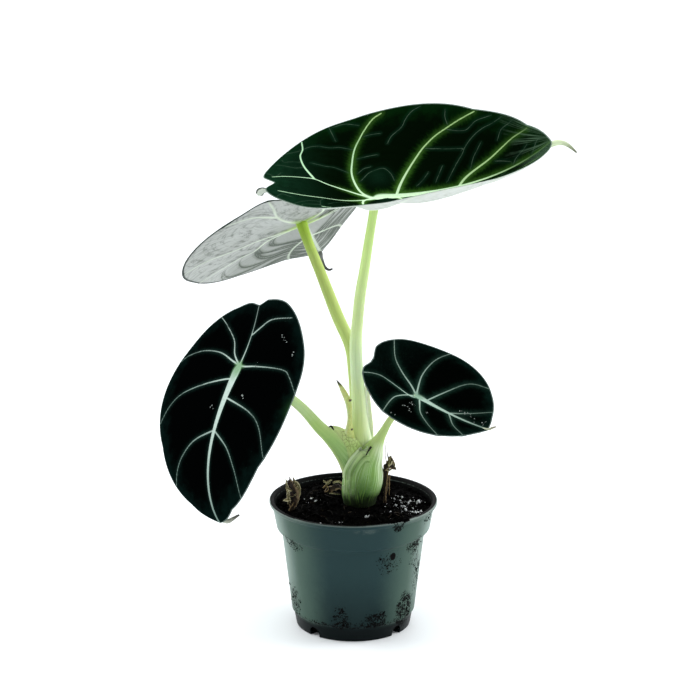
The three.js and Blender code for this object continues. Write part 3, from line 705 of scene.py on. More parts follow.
# The free edge of the front sheath, from its foot up, as (x, z), and how the flap behind it lies.
FLAP_EDGE = [
    (-2.9, 45.6), (-3.6, 50), (-3.9, 54), (-3.4, 58.8), (-1.5, 63.2), (0.6, 65.7), (2.7, 67.2), (5.2, 67.6),
]
FLAP_WIDTH = 7.5
FLAP_THICK = 0.32
FLAP_MESH = (90, 14)
FLAP_EASING = 12  # how often its seat is averaged, so that it spans the grooves below it
FLAP_LIFT = (0.45, -0.5)
FLAP_FOLDS = [
    ([(4, 64.2), (2, 62), (0.6, 59.9), (-0.8, 56.4), (-1.4, 51)], 0.3, 0.45),
    ([(2.6, 66), (0.6, 63.4), (-1, 60), (-2.2, 55.5)], 0.18, 0.35),
    ([(4.6, 62), (2.8, 58.5), (1.4, 54), (1, 50)], 0.2, 0.5),
]
# The thin wing on the right of the tallest stalk. Each knot is (x, y, z, half width, twist).
WING = [
    (4.4, 1.9, 93, 0.15, 0), (4.7, 1.9, 88.5, 0.65, 0), (4.95, 1.9, 84, 0.95, 0), (5.2, 1.9, 78.5, 1.3, 0),
    (5.5, 1.9, 72.6, 1.6, 0), (5.6, 1.9, 66, 1.7, 0),
]
# Dried brown nicks at the ends of the sheaths, as knots like the wing's.
NICKS = {
    "c": [(-8.7, -6.6, 75.1, 0.12, 0), (-7.8, -6.9, 75.5, 0.42, 10), (-6.9, -6.9, 74.2, 0.15, 20)],
    "d": [(6.3, -5.8, 67.7, 0.5, 30), (5.3, -6.1, 66.2, 0.35, 20), (4.3, -6.4, 64.6, 0.1, 0)],
}
# How each stalk is tinted from its foot up: heights, and the colours at them.
FLESH_TINTS = {
    "a": [
        (56, (0.42, 0.56, 0.26)), (72, (0.58, 0.69, 0.28)), (84, (0.62, 0.74, 0.38)),
        (94, (0.62, 0.76, 0.46)), (112, (0.56, 0.69, 0.32)), (145, (0.5, 0.67, 0.23)),
    ],
    "b": [
        (60, (0.42, 0.54, 0.2)), (96, (0.46, 0.58, 0.18)), (126, (0.45, 0.56, 0.15)),
        (138, (0.36, 0.53, 0.06)),
    ],
    "c": [
        (50, (0.18, 0.32, 0.1)), (61, (0.24, 0.41, 0.13)), (69, (0.3, 0.47, 0.15)),
        (76, (0.36, 0.52, 0.16)), (84, (0.45, 0.6, 0.28)), (98, (0.44, 0.56, 0.24)),
    ],
    "web": [(58, (0.22, 0.38, 0.09)), (66, (0.38, 0.52, 0.16)), (73, (0.52, 0.62, 0.26))],
    "d": [
        (50, (0.16, 0.32, 0.08)), (60, (0.27, 0.47, 0.14)), (70, (0.46, 0.6, 0.22)),
        (86, (0.52, 0.62, 0.25)),
    ],
}
THREAD_GREEN = (0.16, 0.30, 0.06)
SHEATH_DEEP = (0.050, 0.150, 0.022)
SHEATH_PALE = (0.58, 0.72, 0.42)
STALK_MESH = (240, 96)
WEB_MESH = (90, 80)


# The flesh carries painted highlights down the stalks' edges and painted shade in their pressed folds.
def petiole_flesh(name, stops):
    """Waxy pale green flesh with fine darker threads along it, stained where it stands in the wet mix."""
    constants = {"IOR": 1.4, "Subsurface Weight": 0.2, "Subsurface Scale": 0.002, "Specular IOR Level": 0.3}
    finish = Finish("petiole flesh " + name, constants)
    finish.set({"Subsurface Radius": (0.6, 1.0, 0.25)})
    x, y, z = finish.places()
    threads = finish.streaks(finish.field("around") * 9, z * 0.035, 1.6)
    mottle = finish.speckle(1.2, 4, 0.65)
    height = z + (mottle - 0.5) * 7
    (low, tint), *others = stops
    for top, colour in others:
        tint = finish.blend(tint, colour, height.rise(low, top))
        low = top
    low_down = z.rise(72, 54)
    grain = finish.speckle(0.4, 2, 0.7, (1, 1, 0.5), 0.2).rise(0.5, 0.72)
    tint = finish.blend(tint, SHEATH_PALE, (threads.rise(0.5, 0.36) * 0.35 + grain * 0.3) * low_down)
    if name == "a":
        # A painted highlight down the right side of the tallest stalk.
        pale = x.rise(2.4, 6.4) * z.rise(60, 70) * z.rise(108, 92)
        tint = finish.blend(tint, (0.80, 0.88, 0.70), pale * 0.7)
    if name == "c":
        # Painted highlights down both edges of this stalk.
        turn = x.maths("COSINE", finish.field("around"))
        tint = finish.blend(tint, (0.60, 0.68, 0.30), turn.rise(-0.5, -0.98) * 0.75)
        tint = finish.blend(tint, (0.50, 0.62, 0.26), turn.rise(0.45, 0.95) * 0.6)
    if name == "d":
        middle = 1 - abs(x - 3.4) / 6.5
        deep = z.rise(64, 48) * (middle + threads * 0.5 - 0.25).rise(0.15, 0.9)
        tint = finish.blend(tint, SHEATH_DEEP, deep * 0.9)
        tint = finish.blend(tint, SHEATH_PALE, finish.field("edge") * z.rise(48, 54) * (0.5 + threads))
        # A painted highlight down the right edge of the broad sheath.
        lit = (x + z * 0.12).rise(14, 17.5) * z.rise(50, 54) * z.rise(70, 65)
        tint = finish.blend(tint, (0.74, 0.82, 0.62), lit * 0.7)
    if name == "web":
        cells = {"Vector": finish.node("TexCoord", {}, {}, "Object"), "Scale": 1 / (1.3 * MM)}
        net = finish.node("TexVoronoi", {"feature": "DISTANCE_TO_EDGE"}, cells)
        where = (x.rise(-5, -3.6) * x.rise(2.4, 1)) * (z.rise(65, 67.5) * z.rise(74.4, 72.6))
        tint = finish.blend(tint, (0.17, 0.20, 0.05), net.rise(0.09, 0.02) * where * 0.7)
        tint = finish.blend(tint, SHEATH_PALE, finish.field("lip") * 0.8)
    tint = finish.blend(tint, THREAD_GREEN, threads.rise(0.47, 0.63) * (0.16 + low_down * 0.72))
    # Painted shade darkens the pressed folds.
    tint = finish.blend(tint, (0.05, 0.08, 0.03), finish.field("fold") * 0.45)
    wet = (z + (threads - 0.5) * 9 + (mottle - 0.5) * 3).rise(51.6, 46.8)
    finish.set({"Base Color": finish.blend(tint, (0.004, 0.007, 0.003), wet * 0.95)})
    finish.set({"Roughness": 0.45 + mottle * 0.16})
    finish.bump(threads * 0.7 + mottle * 0.3, 0.14)
    return finish


def fluted(depth, count, seed):
    """Fine ribs along a stalk, deeper at its foot, over slow swellings."""
    phases = np.random.default_rng(seed).uniform(0, 2 * np.pi, 4)

    def shape(angle, share):
        foot = np.clip(1 - share * 2.2, 0, 1)
        ribs = np.sin(count * angle + phases[0] + 3 * share) + 0.6 * np.sin((count + 7) * angle + phases[1])
        lobes = np.sin(2 * angle + phases[2]) + 0.6 * np.sin(3 * angle + phases[3])
        return 1 + depth * foot * ribs + 0.018 * lobes * (0.4 + foot)

    return shape


def surface_normals(shell):
    """The outward direction at each point of a shell."""
    mesh = bpy.data.meshes.new("shell")
    mesh.from_pydata(shell["points"].tolist(), [], [tuple(int(i) for i in face) for face in shell["faces"]])
    normals = np.array([tuple(v.normal) for v in mesh.vertices])
    bpy.data.meshes.remove(mesh)
    return normals


def nearest(points, marks):
    """How far each point is from the nearest mark, and which mark that is."""
    tree = kdtree.KDTree(len(marks))
    wide = np.zeros((len(marks), 3))
    wide[:, : marks.shape[1]] = marks
    for number, mark in enumerate(wide.tolist()):
        tree.insert(mark, number)
    tree.balance()
    spots = np.zeros((len(points), 3))
    spots[:, : points.shape[1]] = points
    found = [tree.find(spot) for spot in spots.tolist()]
    return np.array([hit[2] for hit in found]), np.array([hit[1] for hit in found])


def fold(shell, lines):
    """Presses lines into the front of a shell, or raises them where the depth is negative."""
    for field in ("fold", "lip"):
        shell["fields"][field] = np.zeros(len(shell["points"]))
    for line, depth, half in lines:
        normals = surface_normals(shell)
        marks = smooth_line(line, 160)
        away, _ = nearest(shell["points"][:, [0, 2]], marks)
        amount = np.exp(-((away / half) ** 2)) * np.clip(-normals[:, 1] * 1.6, 0, 1)
        shell["points"] -= normals * (amount * depth)[:, None]
        field = "fold" if depth > 0 else "lip"
        shell["fields"][field] = np.maximum(shell["fields"][field], amount)


def flap(shells):
    """The front sheath's free edge: a thin slab draped over the stalks' front, sunk in them at its back."""
    points, faces = merged(shells)
    tree = BVHTree.FromPolygons(points.tolist(), faces)
    line = smooth_line(FLAP_EDGE, FLAP_MESH[0])
    along = np.gradient(line, axis=0)
    inward = np.column_stack([along[:, 1], -along[:, 0]]) / np.linalg.norm(along, axis=1)[:, None]
    shares = np.linspace(0, 1, FLAP_MESH[1])
    rows = []
    for spot, turn in zip(line, inward):
        row = []
        for share in shares:
            x, z = spot + turn * share * FLAP_WIDTH
            place = tree.ray_cast((x, -40, z), (0, 1, 0))[0] or tree.find_nearest((x, -6, z))[0]
            row.append(tuple(place))
        rows.append(row)
    upper = np.array(rows)
    seat = upper[:, :, 1].copy()
    for _ in range(FLAP_EASING):
        padded = np.pad(upper[:, :, 1], 1, "edge")
        near = padded[:-2, 1:-1] + padded[2:, 1:-1] + padded[1:-1, :-2] + padded[1:-1, 2:]
        upper[:, :, 1] = np.minimum(seat, near / 4)
    upper[:, :, 1] -= FLAP_LIFT[0] + (FLAP_LIFT[1] - FLAP_LIFT[0]) * shares**3
    lower = upper[:, ::-1] + (0, FLAP_THICK, 0)
    rings = np.concatenate([upper, lower], 1)
    count = rings.shape[1]
    points = np.vstack([rings.reshape(-1, 3), rings[0].mean(0), rings[-1].mean(0)])
    edge = np.concatenate([1 - shares, 1 - shares[::-1]]) ** 5
    fields = {
        "edge": np.append(np.tile(edge, len(rings)), [0, 0]),
        "around": np.append(np.tile(np.concatenate([shares, shares[::-1]]) * 1.2, len(rings)), [0, 0]),
    }
    return {"points": points, "faces": ring_faces(len(rings), count), "fields": fields}


def ribbon(knots, count, thick, arch=0.0, crumple=0.0, seed=0.0):
    """A thin closed strip. Each knot is (x, y, z, half width, twist), and arch bows its section."""
    line = smooth_line(knots, count)
    centre, side, out = frames_on(line)
    twist = np.radians(line[:, 4])[:, None]
    side, out = side * np.cos(twist) + out * np.sin(twist), out * np.cos(twist) - side * np.sin(twist)
    shares = np.linspace(-1, 1, 11)
    over = np.concatenate([shares, shares[::-1]])
    face = np.repeat([1, -1], len(shares)) * (0.2 + 0.8 * np.sqrt(1 - over**2)) * thick / 2
    half = line[:, 3][:, None]
    bow = arch * half * (1 - over**2) + face * np.minimum(1, half / thick)
    rings = centre[:, None] + (half * over)[..., None] * side[:, None] + bow[..., None] * out[:, None]
    points = np.vstack([rings.reshape(-1, 3), centre[0], centre[-1]])
    if crumple:
        shift = [rough_at(points, 1.6, 3, seed + axis) for axis in range(3)]
        points = points + crumple * np.column_stack(shift)
    fields = {
        "along": np.append(np.repeat(np.linspace(0, 1, count), len(over)), [0, 1]),
        "across": np.append(np.tile(over, count), [0, 0]),
    }
    return {"points": points, "faces": ring_faces(count, len(over)), "fields": fields}


def wing_skin():
    """The wing's thin skin: whitish, with a fine darker line along its free edge."""
    finish = Finish("wing skin", {"IOR": 1.4, "Subsurface Weight": 0.2, "Subsurface Scale": 0.001})
    finish.set({"Specular IOR Level": 0.3})
    mottle = finish.speckle(0.9, 3)
    across = finish.field("across")
    tint = finish.blend((0.62, 0.74, 0.46), (0.76, 0.85, 0.66), (across + mottle).rise(0, 1))
    finish.set({"Base Color": finish.blend(tint, (0.35, 0.45, 0.30), across.rise(0.78, 0.96) * 0.8)})
    finish.set({"Roughness": 0.45 + mottle * 0.1})
    finish.bump(mottle, 0.06)
    return finish


def dried_tissue():
    """Dead leaf tissue, nearly black where it is thickest."""
    finish = Finish("dried tissue", {"Specular IOR Level": 0.2})
    mottle = finish.speckle(0.5, 3)
    tint = finish.blend((0.006, 0.007, 0.005), (0.05, 0.05, 0.03), mottle.rise(0.45, 0.75))
    finish.set({"Base Color": tint})
    finish.set({"Roughness": 0.6 + mottle * 0.2})
    finish.bump(mottle, 0.08)
    return finish


nick_finish = dried_tissue()
for name, knots in STALKS.items():
    body = stalk(knots, *STALK_MESH, fluted(0.004, 31, ord(name)))
    fold(body, SHEATH_FOLDS.get(name, []))
    shells = [body]
    finishes = [petiole_flesh(name, FLESH_TINTS[name])]
    if name == "a":
        wing = ribbon(WING, 80, 0.5, 0.1)
        wing["finish"] = 1
        shells.append(wing)
        finishes.append(wing_skin())
    if name == "c":
        web = stalk(SHEATH_WEB, *WEB_MESH, fluted(0.005, 25, 5))
        fold(web, WEB_FOLDS)
        web["finish"] = 1
        shells.append(web)
        finishes.append(petiole_flesh("web", FLESH_TINTS["web"]))
    if name == "d":
        front = flap([*front_shells, body])
        fold(front, FLAP_FOLDS)
        shells.append(front)
    front_shells = shells[:2]
    if name in NICKS:
        nick = ribbon(NICKS[name], 16, 0.35, 0.2, 0.12, 2.0)
        nick["finish"] = len(finishes)
        shells.append(nick)
        finishes.append(nick_finish)
    make_piece("leaf_stalk_" + name, shells, finishes, "petiole_" + name)

# ---- Cataphyll ----
# The small papery scale leaf that stands up beside the tallest stalk. It is a thin pointed sheet, bowed
# towards the front, yellow-green with a dried tip, and it grows out between the sheaths.

# Each knot is (x, y, z, half width, twist).
CATAPHYLL = [
    (-1.1, -1.8, 67.5, 2.1, 0), (-1.4, -3.4, 71, 1.9, 0), (-1.5, -4.9, 74, 1.3, -4),
    (-1.35, -5.9, 76.8, 0.92, -6), (-1.3, -6.8, 80, 0.86, -6), (-1.85, -7, 84.6, 1.15, 0),
    (-3.4, -6.9, 88.2, 1.0, 6), (-4.7, -6.7, 90.6, 0.62, 10), (-5.95, -6.5, 92.5, 0.08, 10),
]
CATAPHYLL_BARB = [(-1.5, -6.9, 83.4, 0.3, 0), (-0.95, -7, 84.7, 0.26, 0), (-0.6, -7, 85.6, 0.05, 0)]


def scale_leaf_skin():
    """Yellow-green papery skin, paler down its left edge, with a dark dried tip and a dark nick."""
    finish = Finish("scale leaf skin", {"Subsurface Weight": 0.2, "Subsurface Scale": 0.001})
    finish.set({"Specular IOR Level": 0.3})
    x, y, z = finish.places()
    mottle = finish.speckle(0.8, 4, 0.6)
    tint = finish.blend((0.50, 0.60, 0.21), (0.40, 0.48, 0.13), mottle.rise(0.4, 0.7))
    tint = finish.blend(tint, (0.62, 0.72, 0.42), finish.field("across").rise(-0.2, -0.9) * 0.8)
    spots = finish.speckle(0.45, 2, 0.6, seed=0.4).rise(0.66, 0.74) * z.rise(81.5, 83.5) * 0.6
    tint = finish.blend(tint, (0.10, 0.11, 0.02), spots)
    nick = abs(z - 85.2).rise(0.6, 0.2) * x.rise(-1.9, -1.2)
    spot = ((x + 0.45) ** 2 + (z - 73.9) ** 2).rise(0.3, 0.1)
    dry = (z + mottle * 1.6).rise(90.6, 92.2) + nick + spot
    finish.set({"Base Color": finish.blend(tint, (0.035, 0.035, 0.022), dry)})
    finish.set({"Roughness": 0.5 + mottle * 0.15})
    finish.bump(mottle, 0.06)
    return finish


cataphyll = ribbon(CATAPHYLL, 110, 0.35, 0.45, 0.05, 4.0)
barb = ribbon(CATAPHYLL_BARB, 14, 0.3)
make_piece("scale_leaf", [cataphyll, barb], [scale_leaf_skin()], "cataphyll")

# ---- Dried husks ----
# Withered leaf bases and sheath rags that stand on the soil: at the left by the rim, behind the stem, and
# close on its right. They are crumpled brown strips with bleached edges, and split straws hang off them.

# Each strip is (finish, thickness, crumple, knots), and each knot is (x, y, z, half width, twist).
DARK, PALE, STRAW = 0, 1, 2
STRIP_RINGS = 44
HUSKS = {
    "left": [
        (DARK, 0.5, 0.8, [(-21.6, -7.8, 44, 0.7, 0), (-21.4, -8, 48, 1.7, 10), (-21.3, -8, 52, 2.4, 30),
            (-22.2, -8, 56, 1.2, 60)]),
        (PALE, 0.35, 0.3, [(-22.6, -8, 47, 0.5, 20), (-22.9, -8.2, 51.5, 0.8, 40),
            (-23.7, -8, 56.3, 0.3, 70)]),
        (PALE, 0.3, 0.35, [(-20.6, -7.4, 46, 0.5, 0), (-19.7, -7.6, 50, 0.9, -30),
            (-19.6, -7.6, 53.5, 0.8, -10), (-21.2, -7.8, 57, 0.2, 30)]),
        (PALE, 0.3, 0.2, [(-23.8, -8.4, 53.4, 0.3, 0), (-21.6, -8.8, 52.6, 0.5, 20),
            (-19.4, -8.4, 53.6, 0.25, 0)]),
        (PALE, 0.3, 0.2, [(-23.2, -8.4, 51, 0.25, 0), (-21.3, -8.9, 50.5, 0.4, 0),
            (-19.4, -8.4, 52, 0.2, 0)]),
        (PALE, 0.4, 0.25, [(-24.6, -8.6, 48.6, 0.3, 80), (-23.4, -8.8, 49, 0.7, 60),
            (-22, -8.6, 48.8, 0.3, 80)]),
        (STRAW, 0.3, 0.1, [(-20.4, -8.2, 48.6, 0.16, 0), (-21.6, -8.8, 46.8, 0.2, 0),
            (-22.8, -9, 45, 0.1, 0)]),
        (DARK, 0.3, 0.2, [(-22.8, -8, 54.6, 0.5, 0), (-22.3, -8.4, 56.4, 0.3, 20),
            (-22.5, -8.4, 57.4, 0.1, 20)]),
    ],
    "back": [
        (DARK, 0.6, 0.5, [(-9.6, 9, 44.6, 1.1, 0), (-8.2, 9, 46.8, 1.5, 50), (-5.6, 9.2, 47.6, 1.4, 80),
            (-3.6, 9.6, 47, 0.8, 60)]),
        (PALE, 0.35, 0.25, [(-10.9, 8.6, 50.3, 0.2, 0), (-9.6, 8.7, 49.6, 0.5, 60),
            (-7.6, 8.8, 50.4, 0.25, 80)]),
        (PALE, 0.3, 0.2, [(-10, 8.7, 48.4, 0.25, 30), (-8.8, 8.7, 49.3, 0.4, 30),
            (-7.8, 8.8, 50.6, 0.12, 0)]),
        (PALE, 0.35, 0.25, [(-7.4, 9, 49.2, 0.4, 70), (-5.2, 9.2, 49.8, 0.6, 80),
            (-4, 9.4, 48.9, 0.4, 60)]),
        (STRAW, 0.3, 0.15, [(-10.8, 8.8, 47.4, 0.3, 0), (-9.6, 8.6, 48.5, 0.35, 60),
            (-9, 8.6, 46.8, 0.3, 100), (-10.2, 8.6, 46, 0.2, 150)]),
        (PALE, 0.3, 0.25, [(-9.2, 8.6, 45.4, 0.25, 80), (-7.2, 8.4, 45.4, 0.4, 80),
            (-4.8, 8.6, 44.9, 0.25, 80)]),
    ],
    "right": [
        (DARK, 0.5, 0.35, [(11.3, -1, 44.6, 0.5, 0), (11.3, -1.1, 50, 0.5, 30), (11.4, -1.2, 56, 0.9, 0),
            (11.8, -1.4, 59.5, 1.3, 20)]),
        (DARK, 0.5, 0.3, [(11.2, -1.4, 58, 0.9, 60), (12.7, -1.6, 59.6, 1.5, 40), (14, -1.6, 58.7, 0.9, 60),
            (15.1, -1.6, 57.8, 0.2, 80)]),
        (DARK, 0.4, 0.25, [(12.6, -1.5, 60, 1.1, 20), (13.5, -1.6, 61.4, 1.3, 50),
            (13.4, -1.6, 62.9, 0.8, 80)]),
        (PALE, 0.35, 0.3, [(11.4, -1.5, 57.8, 0.5, 40), (12.6, -1.9, 59.6, 0.9, 60),
            (13.2, -2, 61.8, 0.7, 30), (12.6, -2, 62.8, 0.2, 0)]),
        (PALE, 0.3, 0.2, [(13.6, -2, 61.4, 0.3, 0), (14.4, -2, 60.2, 0.5, 20), (14.7, -2, 58.8, 0.15, 40)]),
        (DARK, 0.3, 0.1, [(12.7, -1.5, 60.4, 0.35, 0), (12.3, -1.5, 62.6, 0.22, 20),
            (11.95, -1.5, 64.6, 0.06, 40)]),
        (PALE, 0.3, 0.15, [(11.1, -1.6, 58.2, 0.2, 80), (12.5, -1.9, 57.6, 0.45, 70),
            (13.9, -1.9, 58.6, 0.2, 60)]),
        (STRAW, 0.3, 0.12, [(12.3, -1.6, 57.4, 0.22, 0), (12.1, -1.9, 54.4, 0.26, 30),
            (11.8, -2, 50.6, 0.24, 0), (11.3, -2.2, 46.4, 0.12, 0)]),
        (STRAW, 0.3, 0.1, [(13, -1.6, 56.2, 0.12, 0), (12.8, -1.9, 53, 0.2, 20),
            (12.8, -2, 48.4, 0.12, 0)]),
        (STRAW, 0.25, 0.05, [(12, -1.4, 69.4, 0.05, 0), (11.5, -1.5, 66.8, 0.1, 0),
            (11.3, -1.4, 63, 0.12, 0), (11.9, -1.4, 60, 0.15, 0)]),
    ],
}


def husk_skin(name, dark, light, edge):
    """Dead sheath: streaked along its length, bleached at its edges and split ends."""
    finish = Finish("husk " + name, {"Specular IOR Level": 0.2})
    across = finish.field("across")
    streaks = finish.streaks(across * 3, finish.field("along") * 2.5, 1.5)
    mottle = finish.speckle(0.7, 4, 0.7)
    tint = finish.blend(dark, light, (streaks * 0.6 + mottle * 0.5).rise(0.45, 0.72))
    bleached = (abs(across) + mottle * 0.4).rise(0.85, 1.1)
    finish.set({"Base Color": finish.blend(tint, edge, bleached * 0.8)})
    finish.set({"Roughness": 0.65 + mottle * 0.2})
    finish.bump(streaks * 0.6 + mottle * 0.4, 0.14)
    return finish


husk_finishes = [
    husk_skin("dark", (0.004, 0.003, 0.002), (0.040, 0.022, 0.011), (0.22, 0.16, 0.09)),
    husk_skin("pale", (0.02, 0.015, 0.006), (0.38, 0.33, 0.15), (0.64, 0.60, 0.38)),
    husk_skin("straw", (0.05, 0.028, 0.012), (0.26, 0.18, 0.075), (0.40, 0.31, 0.15)),
]
for place, strips in HUSKS.items():
    shells = []
    for number, (finish, thick, crumple, knots) in enumerate(strips):
        strip = ribbon(knots, STRIP_RINGS, thick, 0.3, crumple, 1.7 * number + len(place))
        strip["finish"] = finish
        shells.append(strip)
    make_piece("dried_husk_" + place, shells, husk_finishes, "husk_" + place, crease=60)

# ---- Leaf blades ----
# Thick shield-shaped blades. The upper side is blackish velvet with pale sunken veins, and the underside is
# pale and satiny with ribs. Each is bent, folded along its midrib and cupped, and ends in a fleshy drip tip.

